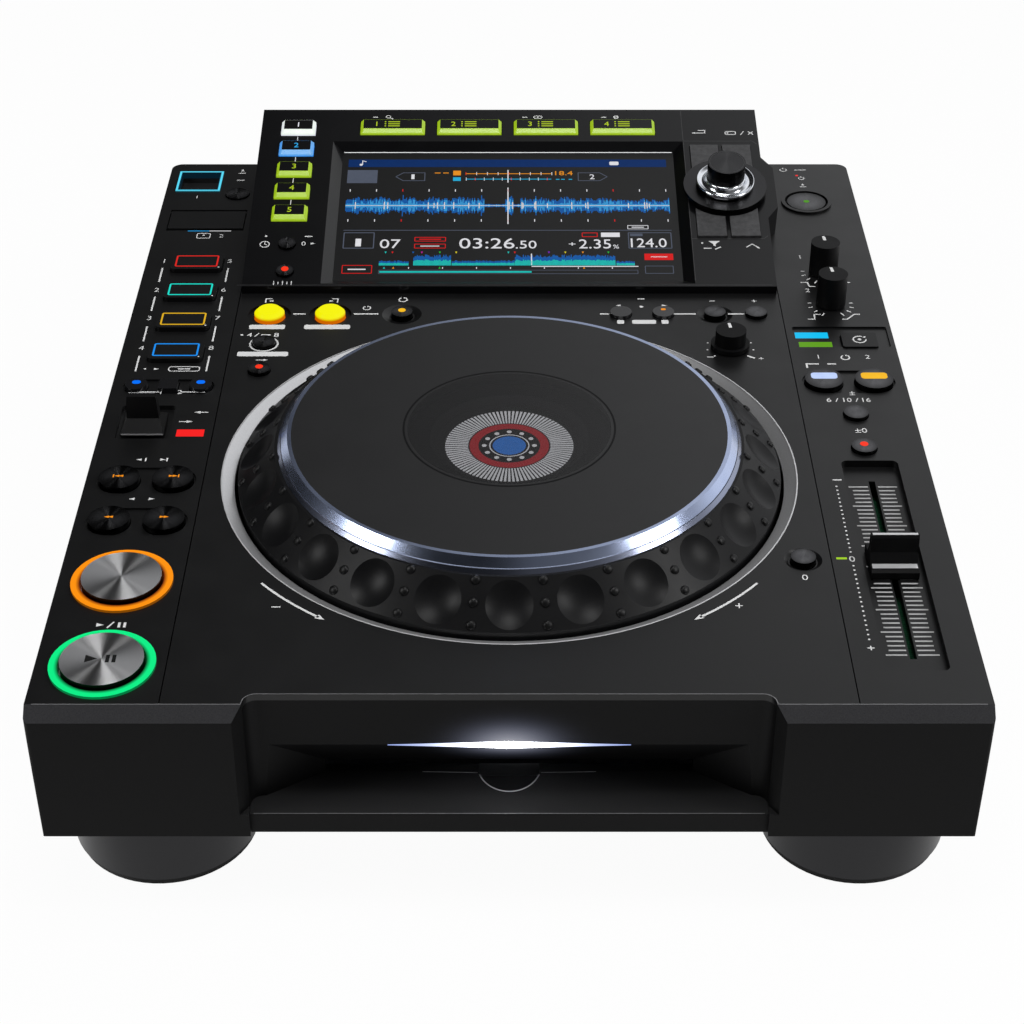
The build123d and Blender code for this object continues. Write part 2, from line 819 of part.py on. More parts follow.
def light_bar_outline(plane):
    """The light bar's long diamond."""
    with BuildSketch(plane) as outline:
        Polygon(
            (-light_bar_half, brow),
            (0, brow - light_bar_height / 2),
            (light_bar_half, brow),
            (0, brow + light_bar_height / 2),
            align=None,
        )
    return outline.sketch


with BuildPart() as front_bezel:
    with BuildSketch(Plane.YZ.offset(-half_width)):
        with BuildLine():
            Polyline(
                (front, underside),
                (front, deck - chamfer_drop),
                (deck_front, deck),
                (deck_front, deck_under),
                (bezel_back, deck_under),
                (bezel_back, underside),
                close=True,
            )
        make_face()
    extrude(amount=body_width)
    fillet(front_bezel.edges().filter_by(Axis.Z).group_by(Axis.Y)[0], radius=front_radius)
    for side in (-1, 1):
        lean_sides(side)
        for pocket_front, pocket_top in (
            (front + wall, deck - chamfer_drop - 2 * wall),
            (deck_front + 0.5, deck_under),
        ):
            block(
                (side * (mouth_half + mouth_flare + wall), side * (half_width - side_draft - wall)),
                (pocket_front, bezel_back),
                (underside + wall, pocket_top),
                Mode.SUBTRACT,
            )
    # set-back wall above the slot, between the flared corner blocks
    with BuildSketch(Plane.XY.offset(shelf_mid)) as plan:
        with BuildLine():
            Polyline(
                (-mouth_half - mouth_flare, front - 1),
                (-mouth_half - mouth_flare, front),
                (-mouth_half, deck_front),
                (-mouth_half, mouth_back),
                (mouth_half, mouth_back),
                (mouth_half, deck_front),
                (mouth_half + mouth_flare, front),
                (mouth_half + mouth_flare, front - 1),
                close=True,
            )
        make_face()
        fillet(plan.vertices().filter_by_position(Axis.Y, mouth_back, mouth_back), radius=mouth_radius)
    extrude(amount=deck - shelf_mid, mode=Mode.SUBTRACT)
    # shelf that slopes down to the lip, and the lip set back below it
    with BuildSketch(Plane.YZ.offset(-mouth_half)):
        with BuildLine():
            Polyline(
                (front - 1, shelf_mid),
                (mouth_back, shelf_mid),
                (lip_front, shelf_front),
                (lip_front, underside - 1),
                (front - 1, underside - 1),
                close=True,
            )
        make_face()
    extrude(amount=2 * mouth_half, mode=Mode.SUBTRACT)
    # funnel from the set-back wall to the slot
    with BuildSketch(Plane.XZ.offset(-mouth_back)):
        Polygon(
            (-funnel_half, brow),
            (funnel_half, brow),
            (funnel_half + funnel_flare, shelf_mid),
            (-funnel_half - funnel_flare, shelf_mid),
            align=None,
        )
    with BuildSketch(Plane.XZ.offset(-slot_front)):
        Polygon(
            (-slot_half, slot_top),
            (slot_half, slot_top),
            (slot_half, slot_bottom),
            (-slot_half, slot_bottom),
            align=None,
        )
    loft(mode=Mode.SUBTRACT)
    block((-slot_half, slot_half), (slot_front, bezel_back), (slot_bottom, slot_top), Mode.SUBTRACT)
    with Locations((0, slot_front + notch_from_slot, shelf_front - 2)):
        Cylinder(
            notch_radius,
            slot_top - shelf_front + 2,
            align=(Align.CENTER, Align.CENTER, Align.MIN),
            mode=Mode.SUBTRACT,
        )
    # hollow behind the wall above the slot, and the light bar's seat
    block(
        (-funnel_half, funnel_half),
        (mouth_back + wall, bezel_back),
        (brow + wall, deck_under - wall),
        Mode.SUBTRACT,
    )
    extrude(light_bar_outline(Plane.XZ.offset(-mouth_back)), amount=-light_bar_depth, mode=Mode.SUBTRACT)

# ---------------------------------------------------------------- lower case
case_half = half_width - wall - 0.3
panel_half = half_width - rear_return - 0.2
floor_back = rear - wall - 0.2
socket_z = underside + 27.0
phono_x = [24.0, 40.0, 60.0]
phono_radius = 4.15
phono_block = 12.0
usb_b_x = -6.0
usb_b_size = (8.6, 7.8)
lan_x = -34.0
lan_size = (11.9, 8.1)
data_wall = 2.4             # round the data sockets, whose bodies fill the panel's cut-outs
mains_x = 31.8 - panel_half
mains_size = (16.4, 8.4)
mains_pin_pitch = 8.6
mains_pin_radius = 1.2
inlet_body = (22.0, 14.0)
switch_x = mains_x + 32.0
switch_size = (13.4, 19.4)
vent_count = 10
vent_pitch = 7.0
vent_size = (3.0, 24.0)
vent_x = panel_half - 37.8
floor_vent_size = (34.0, 3.0)
floor_vent_rows = 9
floor_vent_x = 70.0
floor_vent_pitch = 8.0

foot_spots = [
    (side * (half_width - foot_x_inset), y)
    for side in (-1, 1)
    for y in (front + foot_front_inset, rear - foot_rear_inset)
]

with BuildPart() as lower_case:
    block((-case_half, case_half), (bezel_back, floor_back), (underside, floor_top))
    block((-panel_half, panel_half), (floor_back - 1, rear - sheet), (underside, floor_top))
    for x in (-floor_vent_x, floor_vent_x):
        with BuildSketch(Plane.XY.offset(floor_top)):
            with Locations((x, display_front + floor_vent_size[0] / 2)):
                with GridLocations(1, floor_vent_pitch, 1, floor_vent_rows):
                    Rectangle(*floor_vent_size)
        extrude(amount=-sheet, mode=Mode.SUBTRACT)

with BuildPart() as rear_panel:
    block((-panel_half, panel_half), (rear - sheet, rear), (underside, deck_under))
    with BuildSketch(Plane.XZ.offset(-rear)):
        with Locations((vent_x, socket_z)):
            with GridLocations(vent_pitch, 1, vent_count, 1):
                Rectangle(*vent_size)
        with Locations(*[(x, socket_z) for x in phono_x]):
            Circle(phono_radius)
        for x, size in ((usb_b_x, usb_b_size), (lan_x, lan_size)):
            with Locations((x, socket_z)):
                Rectangle(size[0] + 2 * data_wall, size[1] + 2 * data_wall)
        with Locations((mains_x, socket_z)):
            Rectangle(*inlet_body)
        with Locations((switch_x, socket_z)):
            Rectangle(*switch_size)
    extrude(amount=sheet, mode=Mode.SUBTRACT)

# ---------------------------------------------------------------- feet
with BuildPart() as feet:
    for x, y in foot_spots:
        upright(x, y, foot_pad_height, foot_height, foot_radius)
        upright(x, y, 0, foot_pad_height, foot_radius - foot_pad_inset)

# ---------------------------------------------------------------- jog
flank_run = dial_radius - dial_top_radius
flank_length = hypot(flank_run, dial_height)
flank_out = dial_height / flank_length
flank_up = flank_run / flank_length
hub_bore = hub_radius - hub_wall
platter_radius = rim_top_radius - rim_wall
jog_axis_plane = axis_plane(deck_plane, 0, jog_y)
jog_axis = Axis((0, jog_y, 0), (0, 0, 1))
dimple_sphere = (dimple_radius**2 + dimple_depth**2) / (2 * dimple_depth)
dimple_lift = dimple_sphere - dimple_depth

with BuildPart() as jog_dial:
    with BuildSketch(jog_axis_plane):
        with BuildLine():
            Polyline(
                (dial_radius, -dial_skirt),
                (dial_radius, 0),
                (dial_top_radius, dial_height),
                (hub_bore, dial_height),
                (hub_bore, -hub_drop),
                (hub_radius, -hub_drop),
                (hub_radius, -dial_skirt),
                close=True,
            )
        make_face()
    revolve(axis=jog_axis)
    # dished finger grips all round the sloping flank
    with Locations((0, jog_y, deck + dial_height / 2 + flank_up * dimple_lift)):
        with PolarLocations(
            (dial_radius + dial_top_radius) / 2 + flank_out * dimple_lift, dimple_count, start_angle=-90
        ):
            Sphere(dimple_sphere, rotation=(90, 0, 0), mode=Mode.SUBTRACT)

with BuildPart() as jog_rim:
    with BuildSketch(jog_axis_plane):
        with BuildLine():
            Polyline(
                (platter_radius, dial_height),
                (rim_radius, dial_height),
                (rim_top_radius, platter_height),
                (platter_radius, platter_height),
                close=True,
            )
        make_face()
    revolve(axis=jog_axis)

with BuildPart() as jog_platter:
    with BuildSketch(deck_plane.offset(dial_height)):
        with Locations((0, jog_y)):
            Circle(platter_radius)
            Circle(window_radius, mode=Mode.SUBTRACT)
    extrude(amount=platter_height - dial_height)

with BuildPart() as jog_window:
    upright(0, jog_y, deck + dial_height, deck + platter_height, window_radius)

with BuildPart() as jog_trim_ring:
    with BuildSketch(jog_axis_plane):
        with BuildLine():
            Polyline(
                (trim_outer, 0),
                (trim_outer, -wall),
                (trim_outer - trim_width, -trim_drop - trim_thickness),
                (trim_outer - trim_width, -trim_drop),
                close=True,
            )
        make_face()
    revolve(axis=jog_axis)

drive_top = deck - drive_top_drop
thrust_face = deck - hub_drop - thrust_gap

with BuildPart() as jog_bearing:
    block(
        (-bearing_side / 2, bearing_side / 2),
        (jog_y - bearing_side / 2, jog_y + bearing_side / 2),
        (drive_top, deck - bearing_top_drop),
    )
    upright(0, jog_y, thrust_face, deck - bearing_top_drop, hub_radius + bearing_clearance, Mode.SUBTRACT)

with BuildPart() as jog_display:
    upright(0, jog_y, thrust_face, deck + jog_screen_height, hub_bore - jog_screen_gap)

# ---------------------------------------------------------------- disc drive
drive_low = floor_top + grommet_height
drive_front = bezel_back
drive_back = bezel_back + drive_depth

with BuildPart() as disc_drive:
    block((-drive_half, drive_half), (drive_front, drive_back), (drive_low, drive_top))
    fillet(disc_drive.edges().filter_by(Axis.Z).group_by(Axis.Y)[-1], radius=6)
    block(
        (-slot_half, slot_half),
        (drive_front, drive_front + disc_depth),
        (slot_bottom, slot_top),
        Mode.SUBTRACT,
    )
    with BuildSketch(Plane.XY.offset(floor_top)):
        with Locations((0, (drive_front + drive_back) / 2)):
            with GridLocations(2 * (drive_half - drive_inset), drive_depth - 2 * drive_inset, 2, 2):
                Rectangle(grommet_side, grommet_side)
    extrude(amount=grommet_height)

# ---------------------------------------------------------------- display housing
screen_y = screen_up + screen_height / 2
frame_width = screen_width + 2 * screen_bevel
frame_low = screen_up - screen_lower_bevel
frame_high = screen_up + screen_height + screen_bevel - 1.0
wedge_past = 20.0            # the wedge's sketch past the housing's front and rear
wedge_depth = 60.0
past = 80.0                 # the cutting blocks past the wedge


def display_body(inset):
    """The wedge under the sloping face with its bulge round the selector, drawn in by an inset."""
    top_run = slope_length - inset
    face_drop = inset
    with BuildPart() as wedge:
        with BuildSketch(slope.offset(-face_drop)):
            with BuildLine():
                Polyline(
                    (-display_half + inset, -wedge_past),
                    (display_half - inset, -wedge_past),
                    (display_half - inset, bulge_low),
                    (display_half + bulge_reach - inset, bulge_low + bulge_slant),
                    (display_half + bulge_reach - inset, bulge_high - bulge_slant),
                    (display_half - inset, bulge_high),
                    (display_half - inset, top_run + wedge_past),
                    (-display_half + inset, top_run + wedge_past),
                    close=True,
                )
            make_face()
        extrude(amount=-wedge_depth, dir=slope.z_dir)
        # cut level with the deck, the upright front wall and the rear panel
        across = (-half_width, half_width)
        block(across, (display_front - past, rear + past), (deck - past, deck), Mode.SUBTRACT)
        block(across, (display_front - past, display_front + inset), (deck - 1, deck + past), Mode.SUBTRACT)
        block(across, (rear - inset, rear + past), (deck - 1, deck + past), Mode.SUBTRACT)
    return wedge.part


def corner_keys_outline(plane, grow):
    """Four keys round the selector, with a cross-shaped gap and a round opening between them."""
    with BuildSketch(plane) as outline:
        with Locations(selector):
            for side in (-1, 1):
                for end in (-1, 1):
                    width = corner_keys_width / 2 - corner_keys_split / 2
                    depth = corner_keys_depth / 2 - corner_keys_split / 2
                    middle = (side * (width + corner_keys_split) / 2, end * (depth + corner_keys_split) / 2)
                    with Locations(middle):
                        Rectangle(width + 2 * grow, depth + 2 * grow)
            Circle(selector_skirt + 0.8 - grow, mode=Mode.SUBTRACT)
    return outline.sketch


with BuildPart() as display_housing:
    add(display_body(0))
    add(display_body(wall), mode=Mode.SUBTRACT)
    hang_posts(display_posts, slope)
    # tray behind the screen frame
    extrude(
        square_outline(
            slope,
            screen_x,
            (frame_low + frame_high) / 2,
            frame_width + 2 * tray_wall,
            frame_high - frame_low,
        ),
        amount=-screen_drop - glass_thickness,
    )
    with BuildSketch(slope):
        with Locations((screen_x, (frame_low + frame_high) / 2)):
            Rectangle(frame_width, frame_high - frame_low)
    with BuildSketch(slope.offset(-screen_drop)):
        with Locations((screen_x, screen_y)):
            Rectangle(screen_width, screen_height)
    loft(mode=Mode.SUBTRACT)
    extrude(
        square_outline(slope.offset(-screen_drop), screen_x, screen_y, screen_width, screen_height),
        amount=-glass_thickness - 1,
        mode=Mode.SUBTRACT,
    )
    cut_button_holes(display_buttons, slope)
    for up in source_up:
        extrude(
            square_outline(slope, source_x, up, source_width + 2 * fit_gap, source_depth + 2 * fit_gap),
            amount=-wall,
            mode=Mode.SUBTRACT,
        )
    for x in browse_x:
        extrude(
            square_outline(slope, x, browse_up, browse_width + 2 * fit_gap, source_depth + 2 * fit_gap),
            amount=-wall,
            mode=Mode.SUBTRACT,
        )
    extrude(corner_keys_outline(slope, fit_gap), amount=-wall, mode=Mode.SUBTRACT)
    extrude(round_outline(slope, *selector, shaft_radius + knob_gap), amount=-wall, mode=Mode.SUBTRACT)

with BuildPart() as display_glass:
    extrude(
        square_outline(slope.offset(-screen_drop), screen_x, screen_y, screen_width, screen_height),
        amount=-glass_thickness,
    )
    extrude(
        square_outline(
            slope.offset(-screen_drop - glass_thickness),
            screen_x,
            screen_y,
            screen_width + 2 * glass_lip,
            screen_height + 2 * glass_lip,
        ),
        amount=-glass_thickness,
    )

# ---------------------------------------------------------------- lamps and light guides
with BuildPart() as light_guides:
    for y in (cue_y, play_y):
        with BuildSketch(Plane.XY.offset(deck_under)):
            with Locations((left_x, y)):
                Circle(cue_ring_outer)
                Circle(cue_button_radius + cue_ring_gap, mode=Mode.SUBTRACT)
        extrude(amount=wall + cue_ring_rise)
    extrude(square_outline(deck_plane, *lever_lamp, *lever_lamp_size), amount=-wall)
    for place in jog_mode_lamps:
        extrude(
            square_outline(deck_plane.offset(-wall), *place, lamp_width, lamp_depth),
            amount=wall - pill_depth,
        )
    extrude(square_outline(deck_plane, *zero_lamp, *zero_lamp_size), amount=-wall)
    extrude(square_outline(deck_plane, *standby_lamp, standby_size, standby_size), amount=-wall)
    extrude(
        light_bar_outline(Plane.XZ.offset(-mouth_back + light_bar_proud)),
        amount=-light_bar_depth - light_bar_proud,
    )
    with BuildSketch(deck_plane.offset(-wall)):
        with Locations(usb_port):
            Rectangle(usb_width, usb_depth)
            Rectangle(*usb_well, mode=Mode.SUBTRACT)
    extrude(amount=wall + usb_frame_rise)

# ---------------------------------------------------------------- sockets
inlet_depth = 14.0
inlet_back = 2.0
pin_stand_off = 3.0         # rear of the pins to the panel's inner face
phono_bore = 1.7
phono_body_depth = 10.0
rocker_angle = 7.0
rocker_y = rear - 4.0
rocker_width = 11.2
rocker_half = 8.0
rocker_pin_radius = 1.2
rocker_cavity = (12.0, 17.2)
rocker_cavity_depth = 10.0
rocker_tail = 3.0
rocker_taper = 2.0
rocker_rise = 6.4
rocker_edge_rise = 4.6


def memory_module(place, well, well_wall, top, floor, plug, depth):
    """A well with its floor, and below it the socket for a plug or card, in the part being built."""
    x, y = place
    plug_y = y - socket_offset
    low = floor - pad_thickness
    block(
        (x - well[0] / 2 - well_wall, x + well[0] / 2 + well_wall),
        (y - well[1] / 2 - well_wall, y + well[1] / 2 + well_wall),
        (low, top),
    )
    block(
        (x - plug[0] / 2 - socket_wall, x + plug[0] / 2 + socket_wall),
        (plug_y - plug[1] / 2 - socket_wall, plug_y + plug[1] / 2 + socket_wall),
        (low - depth, low),
    )
    block(
        (x - well[0] / 2, x + well[0] / 2),
        (y - well[1] / 2, y + well[1] / 2),
        (floor, top),
        Mode.SUBTRACT,
    )
    block(
        (x - plug[0] / 2, x + plug[0] / 2),
        (plug_y - plug[1] / 2, plug_y + plug[1] / 2),
        (low - depth + socket_wall, floor),
        Mode.SUBTRACT,
    )


with BuildPart() as connector_sockets:
    for x in phono_x:
        with BuildSketch(Plane.XZ.offset(-rear)):
            with Locations((x, socket_z)):
                Circle(phono_radius)
        extrude(amount=sheet)
        with BuildSketch(Plane.XZ.offset(-rear)):
            with Locations((x, socket_z)):
                Circle(phono_radius)
                Circle(phono_bore, mode=Mode.SUBTRACT)
        extrude(amount=-socket_reach)
        block(
            (x - phono_block / 2, x + phono_block / 2),
            (rear - sheet - phono_body_depth, rear - sheet),
            (socket_z - phono_block / 2, socket_z + phono_block / 2),
        )
    for x, size in ((usb_b_x, usb_b_size), (lan_x, lan_size)):
        block(
            (x - size[0] / 2 - data_wall, x + size[0] / 2 + data_wall),
            (rear - sheet - inlet_depth, rear),
            (socket_z - size[1] / 2 - data_wall, socket_z + size[1] / 2 + data_wall),
        )
        block(
            (x - size[0] / 2, x + size[0] / 2),
            (rear - sheet - inlet_depth + inlet_back, rear),
            (socket_z - size[1] / 2, socket_z + size[1] / 2),
            Mode.SUBTRACT,
        )
    block(
        (mains_x - inlet_body[0] / 2, mains_x + inlet_body[0] / 2),
        (rear - sheet - inlet_depth - inlet_back, rear),
        (socket_z - inlet_body[1] / 2, socket_z + inlet_body[1] / 2),
    )
    with BuildSketch(Plane.XZ.offset(-rear)):
        with Locations((mains_x, socket_z)):
            SlotOverall(*mains_size)
    extrude(amount=sheet + inlet_depth, mode=Mode.SUBTRACT)
    with BuildSketch(Plane.XZ.offset(-rear + sheet + inlet_depth)):
        with Locations((mains_x, socket_z)):
            with GridLocations(mains_pin_pitch, 1, 2, 1):
                Circle(mains_pin_radius)
    extrude(amount=-inlet_depth + pin_stand_off)
    # frame and pin of the power switch's rocker
    block(
        (switch_x - rocker_cavity[0] / 2 - socket_wall, switch_x + rocker_cavity[0] / 2 + socket_wall),
        (rear - sheet - rocker_cavity_depth - inlet_back, rear - sheet),
        (socket_z - rocker_cavity[1] / 2 - socket_wall, socket_z + rocker_cavity[1] / 2 + socket_wall),
    )
    block(
        (switch_x - rocker_cavity[0] / 2, switch_x + rocker_cavity[0] / 2),
        (rear - sheet - rocker_cavity_depth, rear - sheet),
        (socket_z - rocker_cavity[1] / 2, socket_z + rocker_cavity[1] / 2),
        Mode.SUBTRACT,
    )
    with BuildSketch(Plane.YZ.offset(switch_x - rocker_cavity[0] / 2)):
        with Locations((rocker_y, socket_z)):
            Circle(rocker_pin_radius)
    extrude(amount=rocker_cavity[0])
    # USB and memory-card modules: a well under the opening, and the socket's body under the well
    memory_module(
        usb_port, usb_well, usb_frame + pad_thickness, deck_under, usb_floor, usb_plug, usb_plug_depth
    )
    memory_module(
        sd_well_place, sd_well, socket_wall, deck_under - pad_thickness, sd_floor, card, card_depth
    )

# ---------------------------------------------------------------- circuit boards with their switches
switch_side = 4.0
main_board_rise = 6.0
main_board_half = 110.0
main_board_front = drive_back + 12.0
main_board_back = rear - 30.0
main_board_margin = 6.0


def tact_switches(places, surface):
    """Switch bodies from a board up to just below pressed keys, in the part being built."""
    with BuildSketch(surface.offset(-board_drop)) as bodies:
        with Locations(*places):
            Rectangle(switch_side, switch_side)
    extrude(bodies.sketch, amount=board_drop - wall - key_plate - press_travel - 2 * play)


def pot_body(surface, place):
    """A potentiometer on a board with a running bore for its knob's shaft."""
    extrude(square_outline(surface.offset(-board_drop), *place, pot_side, pot_side), amount=pot_height)
    extrude(
        round_outline(surface.offset(-board_drop), *place, shaft_radius + bearing_clearance),
        amount=pot_height,
        mode=Mode.SUBTRACT,
    )


rail_half = carriage_width / 2 + rail_gap + rail_wall
rail_length = fader_slot_length + 12.0
rail_low = board_top
rail_high = fader_tub_low

with BuildPart() as circuit_boards:
    for board in left_boards + right_boards + centre_boards:
        block(board[0:2], board[2:4], (board_top - sheet, board_top))
    left_places = [place for place, radius, rise in left_buttons.values()]
    left_places += [(left_x, y) for y in [cue_y, play_y, bank_y] + hot_cue_y]
    right_places = [place for place, radius, rise in right_buttons.values()] + [jog_mode_key]
    centre_places = [place for place, radius, rise in centre_buttons.values()]
    centre_places += [loop_in, loop_out, ((call_x[0] + call_x[1]) / 2, row_y)]
    tact_switches(left_places + right_places + centre_places, deck_plane)
    for place in (touch_speed, release_speed, jog_adjust):
        pot_body(deck_plane, place)
    # fader rail on the right-hand board, up to the underside of the fader's tub
    block(
        (fader[0] - rail_half, fader[0] + rail_half),
        (fader[1] - rail_length / 2, fader[1] + rail_length / 2),
        (rail_low, rail_high),
    )
    block(
        (fader[0] - rail_half + rail_wall, fader[0] + rail_half - rail_wall),
        (fader[1] - rail_length / 2 + rail_wall, fader[1] + rail_length / 2 - rail_wall),
        (rail_low + rail_wall, rail_high),
        Mode.SUBTRACT,
    )
    # display boards
    for board in display_boards:
        extrude(
            square_outline(
                slope.offset(-board_drop - sheet),
                (board[0] + board[1]) / 2,
                (board[2] + board[3]) / 2,
                board[1] - board[0],
                board[3] - board[2],
            ),
            amount=sheet,
        )
    tact_switches([time_mode, quantize] + [(source_x, source_up[2])], slope)
    tact_switches([((browse_x[1] + browse_x[2]) / 2, browse_up)], slope)
    tact_switches([(selector[0], selector[1] - 25), (selector[0], selector[1] + 25)], slope)
    pot_body(slope, selector)
    # main board on the floor
    block(
        (-main_board_half, main_board_half),
        (main_board_front, main_board_back),
        (floor_top + main_board_rise, floor_top + main_board_rise + sheet),
    )
    with BuildSketch(Plane.XY.offset(floor_top)):
        with Locations((0, (main_board_front + main_board_back) / 2)):
            with GridLocations(
                2 * (main_board_half - main_board_margin),
                main_board_back - main_board_front - 2 * main_board_margin,
                2,
                2,
            ):
                Rectangle(post_side, post_side)
    extrude(amount=main_board_rise)

# ---------------------------------------------------------------- keys that move
for name, (place, radius, rise) in {**left_buttons, **right_buttons, **centre_buttons}.items():
    save(name, round_button(*place, radius, rise))
for name, (place, radius, rise) in display_buttons.items():
    save(name, round_button(*place, radius, rise, slope))
for name, place in (("loop_in_button", loop_in), ("loop_out_button", loop_out)):
    save(name, round_button(*place, dome_radius, dome_rise, top_chamfer=dome_chamfer))
for name, y in (("cue_button", cue_y), ("play_button", play_y)):
    save(name, round_button(left_x, y, cue_button_radius, cue_button_rise))
for row, letter in enumerate("abcd"):
    y = hot_cue_y[row]
    save(
        f"hot_cue_button_{letter}",
        rounded_button(left_x, y, hot_cue_width, hot_cue_depth, hot_cue_round, hot_cue_rise),
    )
save("jog_mode_button", rounded_button(*jog_mode_key, *jog_mode_key_size, 1.0, small_rise - pill_depth))


def bank_caps(plane):
    """Two round keys and a square one between them."""
    with BuildSketch(plane) as outline:
        with Locations((left_x - bank_offset, bank_y), (left_x + bank_offset, bank_y)):
            Circle(small_button)
        with Locations((left_x, bank_y)):
            Rectangle(bank_gate, bank_gate)
    return outline.sketch


def call_caps(plane):
    """Two round keys side by side."""
    with BuildSketch(plane) as outline:
        with Locations(*[(x, row_y) for x in call_x]):
            Circle(small_button)
    return outline.sketch


def source_caps(plane):
    """A column of five keys."""
    with BuildSketch(plane) as outline:
        with Locations(*[(source_x, up) for up in source_up]):
            Rectangle(source_width, source_depth)
    return outline.sketch


def browse_caps(plane):
    """A row of four keys."""
    with BuildSketch(plane) as outline:
        with Locations(*[(x, browse_up) for x in browse_x]):
            Rectangle(browse_width, source_depth)
    return outline.sketch


def selector_frame(plane):
    """The plate that joins the four keys round the selector."""
    with BuildSketch(plane) as outline:
        with Locations(selector):
            Rectangle(corner_keys_width + 2 * key_lip, corner_keys_depth + 2 * key_lip)
            Circle(shaft_radius + knob_gap + 4, mode=Mode.SUBTRACT)
    return outline.sketch


bank_span = 2 * (bank_offset + small_button + key_lip)
save(
    "bank_keys",
    capped_key(
        bank_caps,
        lambda plane: square_outline(plane, left_x, bank_y, bank_span, 2 * (small_button + key_lip)),
        deck_plane,
        small_rise,
    ),
)
call_middle = (call_x[0] + call_x[1]) / 2
call_span = call_x[1] - call_x[0] + 2 * (small_button + key_lip)
save(
    "call_keys",
    capped_key(
        call_caps,
        lambda plane: square_outline(plane, call_middle, row_y, call_span, 2 * (small_button + key_lip)),
        deck_plane,
        small_rise,
    ),
)
source_span = source_up[0] - source_up[4] + source_depth + 2 * key_lip
save(
    "source_keys",
    capped_key(
        source_caps,
        lambda plane: square_outline(
            plane, source_x, source_up[2], source_width + 2 * key_lip, source_span
        ),
        slope,
        source_rise,
    ),
)
browse_span = browse_x[3] - browse_x[0] + browse_width + 2 * key_lip
browse_middle = (browse_x[0] + browse_x[3]) / 2
save(
    "browse_keys",
    capped_key(
        browse_caps,
        lambda plane: square_outline(
            plane, browse_middle, browse_up, browse_span, source_depth + 2 * key_lip
        ),
        slope,
        source_rise,
    ),
)
save(
    "selector_keys",
    capped_key(lambda plane: corner_keys_outline(plane, 0), selector_frame, slope, corner_keys_rise),
)

# ---------------------------------------------------------------- knobs
for name, place in (("touch_speed_knob", touch_speed), ("release_speed_knob", release_speed)):
    outline = [(tall_knob_radius, knob_gap), (tall_knob_radius, tall_knob_height)]
    save(name, knob(deck_plane, *place, outline))
save(
    "jog_adjust_knob",
    knob(
        deck_plane,
        *jog_adjust,
        [
            (adjust_skirt, knob_gap),
            (adjust_skirt, adjust_skirt_rise),
            (adjust_knob_radius, adjust_skirt_rise),
            (adjust_knob_radius, adjust_knob_height),
        ],
    ),
)
skirt_low = corner_keys_rise + selector_skirt_gap
save(
    "selector_knob",
    knob(
        slope,
        *selector,
        [
            (selector_skirt, skirt_low),
            (selector_skirt, skirt_low + selector_skirt_thickness),
            (selector_dish, skirt_low + selector_skirt_thickness),
            (selector_dish, selector_dish_rise),
            (selector_stem, selector_dish_rise),
            (selector_stem, selector_height),
        ],
    ),
)

# ---------------------------------------------------------------- tempo fader
with BuildPart() as tempo_fader:
    foot_low = deck - fader_pocket_depth + 0.4
    with BuildSketch(Plane.YZ.offset(fader[0] - fader_cap_width / 2)):
        with BuildLine():
            half = fader_cap_length / 2
            fin = fader_fin_thickness / 2
            Polyline(
                (fader[1] - half, foot_low),
                (fader[1] - half, deck + fader_foot_rise - 0.8),
                (fader[1] - half + 1.2, deck + fader_foot_rise),
                (fader[1] - fin - 2.6, deck + fader_foot_rise),
                (fader[1] - fin - 0.4, deck + fader_foot_rise + 3.2),
                (fader[1] - fin, deck + fader_fin_rise - 1.0),
                (fader[1] - fin + 0.6, deck + fader_fin_rise),
                (fader[1] + fin - 0.6, deck + fader_fin_rise),
                (fader[1] + fin, deck + fader_fin_rise - 1.0),
                (fader[1] + fin + 0.4, deck + fader_foot_rise + 3.2),
                (fader[1] + fin + 2.6, deck + fader_foot_rise),
                (fader[1] + half - 1.2, deck + fader_foot_rise),
                (fader[1] + half, deck + fader_foot_rise - 0.8),
                (fader[1] + half, foot_low),
                close=True,
            )
        make_face()
    extrude(amount=fader_cap_width)
    block(
        (fader[0] - fader_blade / 2, fader[0] + fader_blade / 2),
        (fader[1] - fader_blade_length / 2, fader[1] + fader_blade_length / 2),
        (rail_low + rail_wall + rail_gap + carriage_height, foot_low),
    )
    block(
        (fader[0] - carriage_width / 2, fader[0] + carriage_width / 2),
        (fader[1] - fader_blade_length / 2, fader[1] + fader_blade_length / 2),
        (rail_low + rail_wall + rail_gap, rail_low + rail_wall + rail_gap + carriage_height),
    )

# ---------------------------------------------------------------- direction lever
lever_low = deck - 0.3
lever_shoulder = deck + 4.5


def lever_section(plane, middle, foot, top):
    """One view of the paddle: a low foot that sweeps up into a tall, slightly tapered blade."""
    with BuildSketch(plane) as section:
        with BuildLine():
            right = [
                (middle + foot / 2, lever_low),
                (middle + foot / 2, lever_low + lever_foot),
                (middle + top / 2 + 0.6, lever_shoulder),
                (middle + top / 2, deck + lever_rise),
            ]
            left = [(2 * middle - x, z) for x, z in reversed(right)]
            Polyline(*right, *left, close=True)
        make_face()
    return section.sketch


